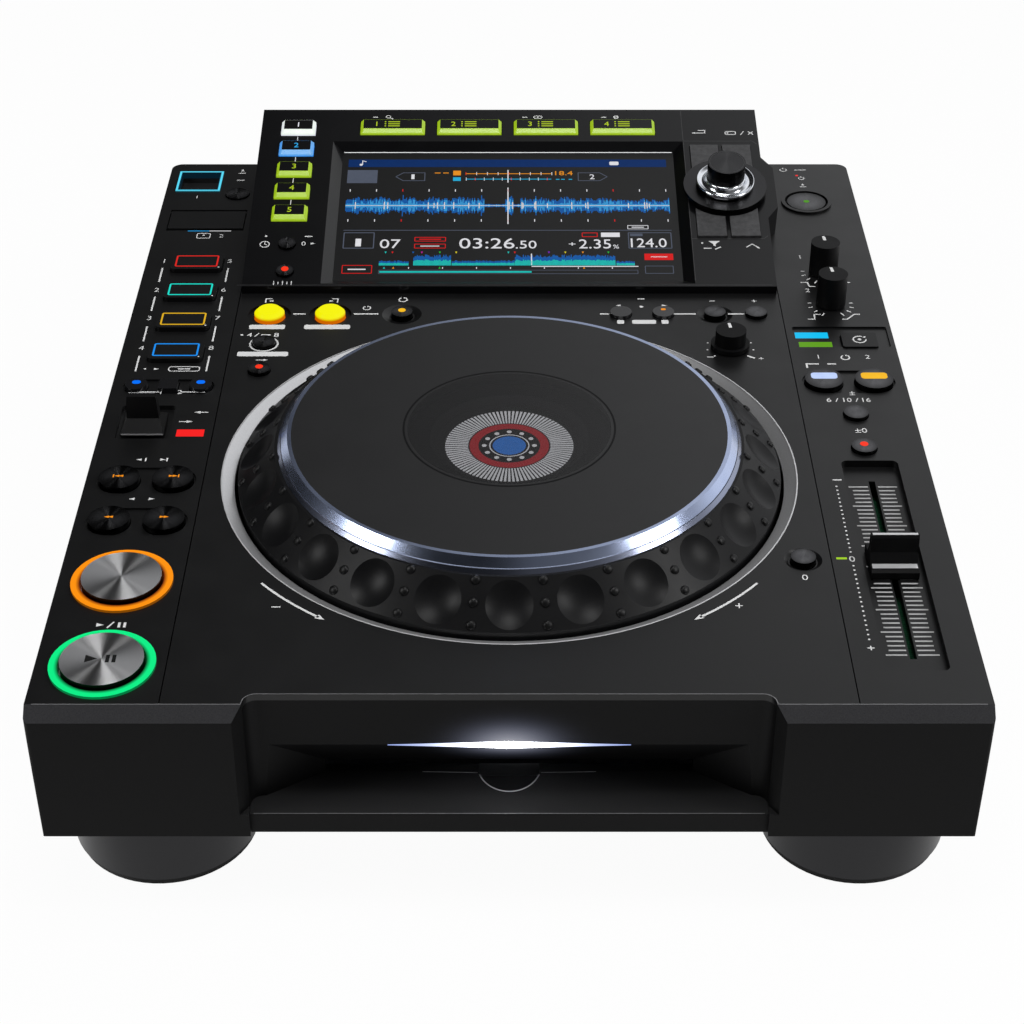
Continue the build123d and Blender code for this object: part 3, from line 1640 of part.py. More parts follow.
with BuildPart() as direction_lever:
    extrude(
        lever_section(Plane.YZ.offset(lever_x - lever_width), lever_y, lever_length, lever_top_length),
        amount=2 * lever_width,
    )
    extrude(
        lever_section(Plane.XZ.offset(-lever_y - lever_length), lever_x, lever_width, lever_top_width),
        amount=2 * lever_length,
        mode=Mode.INTERSECT,
    )
    block(
        (lever_x - lever_stem_width / 2, lever_x + lever_stem_width / 2),
        (lever_y - lever_stem / 2, lever_y + lever_stem / 2),
        (lever_pivot, lever_low),
    )
    with BuildSketch(Plane.YZ.offset(lever_x - lever_stem_width / 2)):
        with Locations((lever_y, lever_pivot)):
            Circle(lever_hub_radius)
    extrude(amount=lever_stem_width)
    with BuildSketch(Plane.YZ.offset(lever_x - axle_half)):
        with Locations((lever_y, lever_pivot)):
            Circle(lever_axle_radius)
    extrude(amount=2 * axle_half)

# ---------------------------------------------------------------- memory-card door
with BuildPart() as sd_door:
    block(
        (sd_slot[0] - sd_door_width / 2, sd_slot[0] + sd_door_width / 2),
        (sd_slot[1] - sd_door_depth / 2, sd_hinge_y),
        (deck - sd_door_thickness, deck),
    )
    with BuildSketch(Plane.YZ.offset(sd_slot[0] - sd_door_width / 2)):
        with Locations((sd_hinge_y, sd_hinge_z)):
            Circle(sd_hinge_radius)
    extrude(amount=sd_door_width)
    with BuildSketch(Plane.YZ.offset(sd_slot[0] - sd_pin_half)):
        with Locations((sd_hinge_y, sd_hinge_z)):
            Circle(sd_pin_radius)
    extrude(amount=2 * sd_pin_half)

# ---------------------------------------------------------------- power switch
rocker_plane = Plane(
    origin=(switch_x - rocker_width / 2, rocker_y, socket_z),
    x_dir=(0, cos(radians(rocker_angle)), sin(radians(rocker_angle))),
    z_dir=(1, 0, 0),
)

with BuildPart() as power_switch:
    with BuildSketch(rocker_plane):
        with BuildLine():
            Polyline(
                (-rocker_tail, -rocker_half + rocker_taper),
                (rocker_edge_rise, -rocker_half),
                (rocker_rise, 0),
                (rocker_edge_rise, rocker_half),
                (-rocker_tail, rocker_half - rocker_taper),
                close=True,
            )
        make_face()
        Circle(rocker_pin_radius + bearing_clearance, mode=Mode.SUBTRACT)
    extrude(amount=rocker_width)

for name, part in {
    "side_cover_left": side_cover_left.part,
    "side_cover_right": side_cover_right.part,
    "centre_panel": centre_panel.part,
    "front_bezel": front_bezel.part,
    "lower_case": lower_case.part,
    "rear_panel": rear_panel.part,
    "feet": feet.part,
    "jog_dial": jog_dial.part,
    "jog_rim": jog_rim.part,
    "jog_platter": jog_platter.part,
    "jog_window": jog_window.part,
    "jog_trim_ring": jog_trim_ring.part,
    "jog_bearing": jog_bearing.part,
    "jog_display": jog_display.part,
    "disc_drive": disc_drive.part,
    "display_housing": display_housing.part,
    "display_glass": display_glass.part,
    "light_guides": light_guides.part,
    "connector_sockets": connector_sockets.part,
    "circuit_boards": circuit_boards.part,
    "tempo_fader": tempo_fader.part,
    "direction_lever": direction_lever.part,
    "sd_door": sd_door.part,
    "power_switch": power_switch.part,
}.items():
    save(name, part)
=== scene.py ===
"""Looks of a tabletop disc player for DJs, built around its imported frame.

The frame is in metres. Marks and small pieces are drawn in millimetres on a plane of the player
(the deck, the sloping display, a button's top), and each plane's matrix turns them into metres.
"""
import math
import random

import bmesh
import bpy
from mathutils import Matrix, Vector


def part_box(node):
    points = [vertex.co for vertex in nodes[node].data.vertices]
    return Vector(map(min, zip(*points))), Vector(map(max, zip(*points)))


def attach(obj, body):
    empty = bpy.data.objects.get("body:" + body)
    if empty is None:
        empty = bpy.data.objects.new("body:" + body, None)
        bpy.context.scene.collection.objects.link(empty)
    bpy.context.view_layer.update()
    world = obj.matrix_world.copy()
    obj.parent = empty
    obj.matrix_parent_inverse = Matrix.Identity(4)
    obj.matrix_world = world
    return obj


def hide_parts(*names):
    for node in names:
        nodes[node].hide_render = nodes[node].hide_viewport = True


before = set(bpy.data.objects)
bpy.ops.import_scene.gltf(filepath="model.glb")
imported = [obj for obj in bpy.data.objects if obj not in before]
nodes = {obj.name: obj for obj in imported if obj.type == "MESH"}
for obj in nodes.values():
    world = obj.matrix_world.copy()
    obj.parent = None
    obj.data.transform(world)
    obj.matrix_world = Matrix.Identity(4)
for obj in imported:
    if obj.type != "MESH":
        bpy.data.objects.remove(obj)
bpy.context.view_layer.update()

# ---------------------------------------------------------------- reference lines, in metres
MM = 0.001
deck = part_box("centre_panel")[1].z
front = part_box("front_bezel")[0].y
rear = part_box("rear_panel")[1].y
display_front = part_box("display_housing")[0].y
display_tilt = math.radians(11.1)
display_step = 3.5 * MM
jog_low, jog_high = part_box("jog_dial")
jog_y = (jog_low.y + jog_high.y) / 2
right_x = -(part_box("play_button")[0].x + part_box("play_button")[1].x) / 2
CORNERS = ((-1, -1), (1, -1), (1, 1), (-1, 1))
LINE = 0.55                     # the printed lines' width, in millimetres
DIGIT_RISE = 0.7                # a digit's height, as a share of the typeface's em
GRAIN_HEIGHT = 0.06 * MM        # of moulded plastic
GROOVE_HEIGHT = 0.03 * MM       # of turned metal

# ---------------------------------------------------------------- camera
camera_distance = 0.76454       # from the middle of the player, along y
camera_rise = 0.46993           # above the deck
camera_pitch = math.radians(35.385)

camera_data = bpy.data.cameras.new("camera")
camera_data.sensor_width = 36.0
camera_data.lens = 77.997
camera_data.shift_x, camera_data.shift_y = 0.00263, 0.01758
camera_data.clip_start = 0.01
camera = bpy.data.objects.new("camera", camera_data)
camera.location = (0, -camera_distance, deck + camera_rise)
camera.rotation_euler = (math.pi / 2 - camera_pitch, 0, 0)
bpy.context.scene.collection.objects.link(camera)
bpy.context.scene.camera = camera
bpy.context.scene.view_settings.view_transform = "Standard"


# ---------------------------------------------------------------- node materials
class Nodes:
    """A tree of nodes being wired."""

    def __init__(self, tree):
        self.tree = tree

    def wire(self, value, socket):
        """Give a socket a value, or wire another node's output to it."""
        if isinstance(value, bpy.types.NodeSocket):
            self.tree.links.new(value, socket)
        else:
            socket.default_value = (*value, 1) if socket.type == "RGBA" else value

    def node(self, kind, inputs=None, **settings):
        made = self.tree.nodes.new("ShaderNode" + kind)
        for name, value in settings.items():
            setattr(made, name, value)
        for key, value in (inputs or {}).items():
            self.wire(value, made.inputs[key])
        return made

    def math(self, operation, a, b=0, clamp=False):
        return self.node("Math", {0: a, 1: b}, operation=operation, use_clamp=clamp).outputs[0]

    def range(self, value, low, high, to_low=0, to_high=1, **settings):
        inputs = {"Value": value, "From Min": low, "From Max": high, "To Min": to_low, "To Max": to_high}
        return self.node("MapRange", inputs, **settings).outputs["Result"]


class Shader(Nodes):
    """A material's nodes, with short names for what this file does with them."""

    def __init__(self, name, **settings):
        self.material = bpy.data.materials.new(name)
        self.material.use_nodes = True
        super().__init__(self.material.node_tree)
        self.principled = self.tree.nodes["Principled BSDF"]
        for socket, value in settings.items():
            self.set(socket.replace("_", " "), value)

    def set(self, socket, value):
        """Give a socket of the main shader a value, or wire another node's output to it."""
        self.wire(value, self.principled.inputs[socket])

    def place(self, about=None):
        """The point being shaded, in metres, about a point if given. It moves with its piece."""
        point = self.node("TexCoord").outputs["Object"]
        if about is None:
            return point
        return self.node("VectorMath", {0: point, 1: about}, operation="SUBTRACT").outputs[0]

    def axes(self, about=None):
        """The point's x, y and z."""
        return self.node("SeparateXYZ", {0: self.place(about)}).outputs

    def radius(self, about):
        """Distance from an upright axis through a point."""
        x, y, z = self.axes(about)
        return self.math("SQRT", self.sum_of_squares(x, y))

    def sum_of_squares(self, a, b):
        return self.math("ADD", self.math("MULTIPLY", a, a), self.math("MULTIPLY", b, b))

    def outward(self, about):
        """The direction away from an upright axis, along which a turned face draws its highlights out."""
        flat = self.node("VectorMath", {0: self.place(about), 1: (1, 1, 0)}, operation="MULTIPLY")
        world = {"convert_from": "OBJECT", "convert_to": "WORLD"}
        return self.node("VectorTransform", {0: flat.outputs[0]}, **world).outputs[0]

    def normal(self):
        """The x, y and z of the face's direction: Z is 1 on a flat top and 0 on a side wall."""
        return self.node("SeparateXYZ", {0: self.node("NewGeometry").outputs["Normal"]}).outputs

    def along(self, **axis):
        """A vector with one value along the axis named, and nothing along the others."""
        return self.node("CombineXYZ", axis).outputs[0]

    def noise(self, scale, detail=2, roughness=0.5, place=None):
        place = place or self.place()
        inputs = {"Vector": place, "Scale": scale, "Detail": detail, "Roughness": roughness}
        return self.node("TexNoise", inputs).outputs["Fac"]

    def speckle(self, scale, low, high, detail=2):
        """A colour that wanders between two."""
        return self.mix(self.noise(scale, detail), low, high)

    def within(self, value, centre, half):
        """1 where a value lies within a half width of a centre, else 0."""
        off = self.math("ABSOLUTE", self.math("SUBTRACT", value, centre))
        return self.math("LESS_THAN", off, half)

    def mix(self, factor, a, b, blend="MIX"):
        """One colour or the other, by a factor, or the two blended."""
        colours = {0: factor, 6: a, 7: b}
        return self.node("Mix", colours, data_type="RGBA", blend_type=blend).outputs[2]

    def patches(self, colours, base):
        """Colours in boxes seen from above: (x, y, half width, half depth, colour), in metres."""
        x, y, z = self.axes()
        for at_x, at_y, half_x, half_y, colour in colours:
            inside = self.math("MULTIPLY", self.within(x, at_x, half_x), self.within(y, at_y, half_y))
            base = self.mix(inside, base, colour)
        return base

    def bump(self, height, strength, distance):
        made = self.node("Bump", {"Height": height, "Strength": strength, "Distance": distance})
        self.set("Normal", made.outputs["Normal"])


def shades(colour, spread):
    """A darker and a lighter shade of a colour."""
    return tuple(c * (1 - spread) for c in colour), tuple(min(1, c * (1 + spread)) for c in colour)


def grained(
    name, colour, roughness, grain=2600, depth=0.25, spread=0.25, specular=0.35, coat=0, metallic=0
):
    """Moulded plastic or paint: fine grain in the surface, and colour and gloss that vary a little."""
    shader = Shader(name, Specular_IOR_Level=specular, Metallic=metallic)
    if coat:
        shader.set("Coat Weight", coat)
        shader.set("Coat Roughness", 0.04)
    shader.set("Base Color", shader.speckle(grain * 0.35, *shades(colour, spread), 3))
    gloss = shader.range(shader.noise(60, 3), 0.3, 0.7, roughness * 0.93, roughness * 1.07)
    shader.set("Roughness", gloss)
    shader.bump(shader.noise(grain, 1), depth, GRAIN_HEIGHT)
    return shader.material


def turned(name, colour, roughness, centre, side, anisotropic, groove=9000, fade=None):
    """Metal or lacquer turned about an upright axis, its highlight drawn out across fine rings.

    Its side walls have a colour of their own, and its face may darken towards a radius, a painted shade like
    that at a dome's edge.
    """
    shader = Shader(name, Metallic=1, Anisotropic=anisotropic, Roughness=roughness)
    rings = shader.noise(groove, 2, 0.6, shader.along(X=shader.radius(centre)))
    face = shader.mix(rings, *shades(colour, 0.18))
    # painted shade: the face darkens towards the fade radius, as a dome's edge would fall into shade
    if fade:
        painted_edge_shade = shader.range(shader.radius(centre), fade * 0.45, fade)
        face = shader.mix(painted_edge_shade, face, tuple(c * 0.12 for c in colour))
    wall = shader.speckle(900, *shades(side, 0.2))
    flat = shader.math("GREATER_THAN", shader.normal()["Z"], 0.9)
    shader.set("Base Color", shader.mix(flat, wall, face))
    shader.set("Tangent", shader.outward(centre))
    shader.bump(rings, 0.05, GROOVE_HEIGHT)
    return shader.material


def glowing(name, colour, strength=1, body=None):
    """A lit plastic lens or a lamp's window, a little uneven as such lenses are; also a painted highlight or
    painted light that glows.
    """
    body = body or tuple(c * 0.05 for c in colour)
    shader = Shader(name, Roughness=0.4, Specular_IOR_Level=0.1, Base_Color=body)
    shader.set("Emission Strength", strength)
    shader.set("Emission Color", shader.speckle(400, *shades(colour, 0.12)))
    return shader.material


def printed(name, colour):
    """Screen-printed ink, slightly uneven."""
    shader = Shader(name, Roughness=0.55, Specular_IOR_Level=0.2)
    shader.set("Base Color", shader.speckle(1800, *shades(colour, 0.08)))
    return shader.material


def give(material, *names):
    """Dress nodes of the frame in a material."""
    for name in names:
        data = nodes[name].data
        data.materials.clear()
        data.materials.append(material)


def middle(node):
    """The middle of a node's box, seen from above, at the height of its top."""
    low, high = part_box(node)
    return Vector(((low.x + high.x) / 2, (low.y + high.y) / 2, high.z))


# ---------------------------------------------------------------- planes and flat marks
def plane_at(x, y, z, tilt=0):
    """A plane in millimetres about a point given in metres, tilted up towards the rear."""
    return Matrix.Translation((x, y, z)) @ Matrix.Rotation(tilt, 4, "X") @ Matrix.Scale(MM, 4)


def deck_at(x=0, y=0, height=0):
    """The plane of the deck, about a point of it in millimetres, or one above it."""
    return plane_at(x * MM, y * MM, deck + height * MM)


def slope_at(x=0, up=0, height=0):
    """The plane of the sloping display, about a point of it in millimetres."""
    base = plane_at(0, display_front, deck + display_step, display_tilt)
    return base @ Matrix.Translation((x, up, height))


def top_of(node):
    """The plane of a node's flat top, about its middle."""
    return plane_at(*middle(node))


def dial_level(z):
    """The plane across the dial's axis at a height given in metres."""
    return plane_at(0, jog_y, z)


def piece(name, body, mesh, material, smooth=False):
    """Link a finished bmesh as a piece that rides on a body."""
    bmesh.ops.recalc_face_normals(mesh, faces=mesh.faces)
    data = bpy.data.meshes.new(name)
    mesh.to_mesh(data)
    mesh.free()
    for polygon in data.polygons:
        polygon.use_smooth = smooth
    data.materials.append(material)
    made = bpy.data.objects.new(name, data)
    bpy.context.scene.collection.objects.link(made)
    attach(made, body)
    return made


class Marks:
    """Thin flat shapes on one plane of one body, gathered into one piece."""

    def __init__(self, name, body, plane, material, thick=0.05, sunk=0.05):
        self.name, self.body, self.plane, self.material = name, body, plane, material
        self.thick, self.sunk = thick, sunk
        self.mesh = bmesh.new()

    def draw(self, **shapes):
        """Rows of shapes, each kind of them under its method's name."""
        for kind, rows in shapes.items():
            for row in rows:
                getattr(self, kind)(*row)
        return self

    def place(self, x, y, z):
        return self.mesh.verts.new(self.plane @ Vector((x, y, z)))

    def area(self, outline):
        """A closed slab with this outline."""
        low = [self.place(x, y, -self.sunk) for x, y in outline]
        high = [self.place(x, y, self.thick) for x, y in outline]
        self.mesh.faces.new(low)
        self.mesh.faces.new(high)
        for i in range(len(outline)):
            self.mesh.faces.new((low[i - 1], low[i], high[i], high[i - 1]))

    def band(self, outer, inner, closed=True):
        """A slab between two outlines with as many points, all round or open at its ends."""
        top, foot = self.thick, -self.sunk
        loops = ((outer, top), (inner, top), (inner, foot), (outer, foot))
        rows = [[self.place(x, y, z) for x, y in line] for line, z in loops]
        for i in range(0 if closed else 1, len(outer)):
            for a in range(4):
                b = (a + 1) % 4
                self.mesh.faces.new((rows[a][i - 1], rows[a][i], rows[b][i], rows[b][i - 1]))
        if not closed:
            for end in (0, -1):
                self.mesh.faces.new([row[end] for row in rows])

    def bar(self, x, y, width, depth):
        self.area([(x + sx * width / 2, y + sy * depth / 2) for sx, sy in CORNERS])

    def line(self, points, width):
        """A line of even width through a few points, mitred at its bends."""
        sides = []
        for i, point in enumerate(points):
            point = Vector(point)
            before = (point - Vector(points[i - 1])).normalized() if i else None
            after = (Vector(points[i + 1]) - point).normalized() if i + 1 < len(points) else None
            along = ((before or after) + (after or before)).normalized()
            normal = Vector((-along.y, along.x))
            stretch = 1 / max(0.4, abs(along.dot(before or after)))
            sides.append((point + normal * width / 2 * stretch, point - normal * width / 2 * stretch))
        self.band([tuple(a) for a, b in sides], [tuple(b) for a, b in sides], closed=False)

    def arc(self, x, y, radius, width, start=0, turn=360, steps=None):
        """A ring, or a stretch of one, from an angle in degrees and on by a turn."""
        steps = steps or max(3, int(abs(turn) / 360 * (24 + radius * 4)))
        closed = abs(turn) >= 360
        count = steps if closed else steps + 1
        angles = [math.radians(start + turn * i / steps) for i in range(count)]
        outer, inner = (
            [(x + r * math.cos(a), y + r * math.sin(a)) for a in angles]
            for r in (radius + width / 2, radius - width / 2)
        )
        self.band(outer, inner, closed)

    def disc(self, x, y, radius, steps=24):
        self.area(circle(x, y, radius, steps))

    def frame(self, x, y, width, depth, line, corner=0):
        """The outline of a rectangle, its line inside the size given."""
        outer = rounded(x, y, width, depth, corner + line)
        self.band(outer, rounded(x, y, width - 2 * line, depth - 2 * line, corner))

    def pill(self, x, y, width, depth, corner):
        self.area(rounded(x, y, width, depth, corner))

    def triangle(self, x, y, size, angle=0):
        """A triangle that points along an angle in degrees."""
        turns = [(size * r, math.radians(angle + a)) for r, a in ((1, 0), (0.6, 125), (0.6, -125))]
        self.area([(x + r * math.cos(a), y + r * math.sin(a)) for r, a in turns])

    def arrow(self, x, y, size, angle, tail):
        """A triangle with a tail behind it, as long as given."""
        self.triangle(x, y, size, angle)
        a = math.radians(angle)
        ends = [(x - back * math.cos(a), y - back * math.sin(a)) for back in (size * 0.3, size * 0.3 + tail)]
        self.line(ends, LINE)

    def digits(self, text, x, y, height, width=None):
        """Plain numbers and signs, as high as a digit of this height, centred on a point.

        They are as wide as the typeface makes them, or stretched to a width.
        """
        em = height / DIGIT_RISE
        curve = bpy.data.curves.new("digits", "FONT")
        curve.body = text
        curve.resolution_u = 3
        curve.extrude = (self.thick + self.sunk) / 2 / em
        holder = bpy.data.objects.new("digits", curve)
        bpy.context.scene.collection.objects.link(holder)
        graph = bpy.context.evaluated_depsgraph_get()
        data = bpy.data.meshes.new_from_object(holder.evaluated_get(graph))
        left, *_, right = sorted(v.co.x for v in data.vertices)
        low, *_, high = sorted(v.co.y for v in data.vertices)
        wide = width / (right - left) if width else em
        centred = Matrix.Translation((-(right + left) / 2, -(high + low) / 2, 0))
        shift = Matrix.Translation((x, y, (self.thick - self.sunk) / 2))
        data.transform(self.plane @ shift @ Matrix.Diagonal((wide, em, em, 1)) @ centred)
        self.mesh.from_mesh(data)
        bpy.data.objects.remove(holder)
        bpy.data.curves.remove(curve)
        bpy.data.meshes.remove(data)

    def done(self):
        bmesh.ops.remove_doubles(self.mesh, verts=self.mesh.verts, dist=1e-7)
        return piece(self.name, self.body, self.mesh, self.material)


def mark(name, body, plane, material, thick=0.05, sunk=0.05, **shapes):
    """A piece of marks, from rows of each kind of shape."""
    return Marks(name, body, plane, material, thick, sunk).draw(**shapes).done()


def circle(x, y, radius, steps=24):
    """Points round a circle."""
    turns = [2 * math.pi * i / steps for i in range(steps)]
    return [(x + radius * math.cos(a), y + radius * math.sin(a)) for a in turns]


def rounded(x, y, width, depth, corner, steps=4):
    """Points round a rectangle with round corners."""
    corner = min(corner, width / 2, depth / 2)
    points = []
    for quarter, (sx, sy) in enumerate(((1, 1), (-1, 1), (-1, -1), (1, -1))):
        centre_x, centre_y = x + sx * (width / 2 - corner), y + sy * (depth / 2 - corner)
        for i in range(steps + 1):
            a = math.pi / 2 * (quarter + i / steps)
            points.append((centre_x + corner * math.cos(a), centre_y + corner * math.sin(a)))
    return points


def revolved(profile, steps):
    """The round outline and height of each (radius, height) of a profile."""
    return [(circle(0, 0, radius, steps), height) for radius, height in profile]


def skin(mesh, plane, outlines, closed=False):
    """Faces over outlines at their heights above a plane, capped at both ends, or joined if closed."""
    loops = [[mesh.verts.new(plane @ Vector((x, y, z))) for x, y in outline] for outline, z in outlines]
    pairs = list(zip(loops, loops[1:]))
    if closed:
        pairs.append((loops[-1], loops[0]))
    for low, high in pairs:
        for i in range(len(low)):
            mesh.faces.new((low[i - 1], low[i], high[i], high[i - 1]))
    if not closed:
        mesh.faces.new(loops[0])
        mesh.faces.new(loops[-1])


# ---------------------------------------------------------------- materials of the frame's nodes
DARK_WALL = (0.006, 0.006, 0.006)
deck_plastic = grained("deck_plastic", (0.0046, 0.0046, 0.0048), 0.36, specular=0.32)
black_satin = grained("black_satin", (0.0035, 0.0035, 0.0038), 0.42, grain=1800, specular=0.25)
black_rubber = grained("black_rubber", (0.003, 0.003, 0.0033), 0.5, 3200, depth=0.4, specular=0.12)
gloss_black = grained("gloss_black", (0.0025, 0.0025, 0.003), 0.3, 900, 0.03, specular=0.15, coat=0.3)
key_speckle = grained("key_speckle", (0.05, 0.05, 0.052), 0.5, grain=1500, depth=0.8, spread=0.7)
steel_paint = grained("steel_paint", (0.012, 0.012, 0.013), 0.55, grain=1500, depth=0.4)
bare_steel = grained("bare_steel", (0.45, 0.46, 0.48), 0.38, grain=700, spread=0.1, metallic=1)
knobs = ("touch_speed_knob", "release_speed_knob", "jog_adjust_knob")

give(deck_plastic, *nodes)
give(steel_paint, "lower_case", "rear_panel")
give(bare_steel, "disc_drive", "jog_bearing")
give(gloss_black, "display_housing")
give(key_speckle, "selector_keys")
give(black_rubber, *knobs, "direction_lever", "tempo_fader")
give(black_satin, "jog_mode_button", "power_switch", *[f"hot_cue_button_{letter}" for letter in "abcd"])


def bezel_paint():
    """The deck's plastic, its upward faces lighter as painted light and the rest darker as painted shade, a
    satin speckle on the front chamfer, and a painted glow round the slot's light.
    """
    light_height = deck - 21.8 * MM
    glow_reach, glow_rise = 13 * MM, 7 * MM
    shader = Shader("bezel_paint", Specular_IOR_Level=0.1)
    normal = shader.normal()
    chamfer = shader.math(
        "MULTIPLY",
        shader.math("GREATER_THAN", normal["Z"], 0.4),
        shader.math("LESS_THAN", normal["Y"], -0.3),
    )
    plain = shader.speckle(900, (0.0018, 0.0018, 0.002), (0.0034, 0.0034, 0.0036), 3)
    # painted light and shade: upward faces lighter than the front and side faces
    plain = shader.mix(shader.math("GREATER_THAN", normal["Z"], 0.5), plain, (0.016, 0.016, 0.0165))
    speckle = shader.mix(shader.noise(2200, 2, 0.7), (0.016, 0.016, 0.018), (0.055, 0.055, 0.058))
    shader.set("Base Color", shader.mix(chamfer, plain, speckle))
    shader.set("Roughness", shader.range(chamfer, 0, 1, 0.5, 0.36))
    shader.bump(shader.noise(2600, 1), 0.25, GRAIN_HEIGHT)
    # painted glow: the bezel itself emits round the bar of light over the slot
    x, y, z = shader.axes(Vector((0, front, light_height)))
    spread = shader.sum_of_squares(shader.math("DIVIDE", x, glow_reach), shader.math("DIVIDE", z, glow_rise))
    glow = shader.math("EXPONENT", shader.math("MULTIPLY", spread, -1))
    shader.set("Emission Color", shader.mix(glow, (0.5, 0.55, 0.8), (0.8, 0.82, 0.95)))
    shader.set("Emission Strength", shader.math("MULTIPLY", glow, 0.35))
    return shader.material


def foot_metal():
    """Dark spun metal with fine rings round its side, and a rubber pad below."""
    shader = Shader("foot_metal", Anisotropic=0.92)
    x, y, z = shader.axes()
    pad = shader.math("LESS_THAN", z, 3.0 * MM)
    rings = shader.noise(7000, 1, 0.5, shader.along(Z=z))
    metal = shader.mix(rings, (0.018, 0.018, 0.019), (0.045, 0.045, 0.047))
    shader.set("Tangent", shader.along(Z=1))
    shader.set("Base Color", shader.mix(pad, metal, (0.012, 0.012, 0.012)))
    shader.set("Metallic", shader.range(pad, 0, 1, 0.95, 0))
    shader.set("Roughness", shader.range(pad, 0, 1, 0.3, 0.8))
    shader.bump(rings, 0.2, 0.05 * MM)
    return shader.material


def board_green():
    """Solder mask with tracks, and black switch bodies above it."""
    shader = Shader("board_green", Roughness=0.4)
    greens = {"Color1": (0.01, 0.07, 0.03), "Color2": (0.008, 0.055, 0.025), "Mortar": (0.03, 0.16, 0.07)}
    tracks = shader.node("TexBrick", {"Vector": shader.place(), "Scale": 220, "Mortar Size": 0.02, **greens})
    side = shader.within(shader.normal()["Z"], 0, 0.5)
    shader.set("Base Color", shader.mix(side, tracks.outputs["Color"], (0.012, 0.012, 0.013)))
    return shader.material


def socket_parts():
    """Black sockets whose phono sleeves, past the rear panel, are plated."""
    shader = Shader("socket_parts", Specular_IOR_Level=0.4)
    x, y, z = shader.axes()
    plated = shader.math("GREATER_THAN", y, rear + 0.05 * MM)
    black = shader.speckle(1500, (0.009, 0.009, 0.01), (0.016, 0.016, 0.017))
    gold = shader.speckle(300, (0.72, 0.5, 0.2), (0.85, 0.62, 0.28))
    shader.set("Base Color", shader.mix(plated, black, gold))
    shader.set("Metallic", plated)
    shader.set("Roughness", shader.range(plated, 0, 1, 0.5, 0.22))
    return shader.material


give(bezel_paint(), "front_bezel")
give(foot_metal(), "feet")
give(board_green(), "circuit_boards")
give(socket_parts(), "connector_sockets")

# lacquered round buttons, turned on top so that the light draws out across them
for name in (
    "usb_stop", "track_search_back", "track_search_forward", "search_back", "search_forward", "eject", "sync",
    "master", "tempo_range", "master_tempo", "reloop", "delete", "memory", "beat_loop", "slip", "tempo_reset",
    "time_mode", "quantize",
):
    node = name + "_button"
    radius = (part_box(node)[1].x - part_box(node)[0].x) / 2
    # their faces darken towards the rim: painted shade
    lacquer = turned(node + "_lacquer", (0.10, 0.10, 0.105), 0.22, middle(node), DARK_WALL, 0.98, fade=radius)
    give(lacquer, node)
for node in ("bank_keys", "call_keys"):
    give(grained(node + "_lacquer", (0.008, 0.008, 0.009), 0.25, grain=900, depth=0.05, coat=0.5), node)
selector_top = middle("selector_knob")
give(turned("selector_black", (0.06, 0.06, 0.062), 0.25, selector_top, DARK_WALL, 0.9), "selector_knob")
for node in ("cue_button", "play_button"):
    wall = (0.012, 0.012, 0.012)
    give(turned(node + "_metal", (0.92, 0.92, 0.94), 0.28, middle(node), wall, 0.95, 5000), node)


def dome_yellow(node):
    """A lit yellow dome, deeper towards its lower edge."""
    low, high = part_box(node)
    shader = Shader(node + "_yellow", Roughness=0.45, Specular_IOR_Level=0.12, Base_Color=(0.12, 0.11, 0))
    x, y, z = shader.axes()
    rise = shader.range(z, deck, deck + (high.z - deck) * 0.55)
    shader.set("Emission Color", shader.mix(rise, (0.60, 0.10, 0), (0.86, 0.84, 0)))
    shader.set("Emission Strength", 0.95)
    return shader.material


for node in ("loop_in_button", "loop_out_button"):
    give(dome_yellow(node), node)


def lit_keys(node, rows, rest):
    """Translucent keys lit from below, some in a colour of their own."""
    shader = Shader(node + "_lit", Roughness=0.3, Base_Color=tuple(c * 0.5 for c in rest))
    shade = shader.speckle(250, (0.75, 0.75, 0.75), (1, 1, 1))
    shader.set("Emission Color", shader.mix(1, shader.patches(rows, rest), shade, "MULTIPLY"))
    shader.set("Emission Strength", 0.95)
    return shader.material


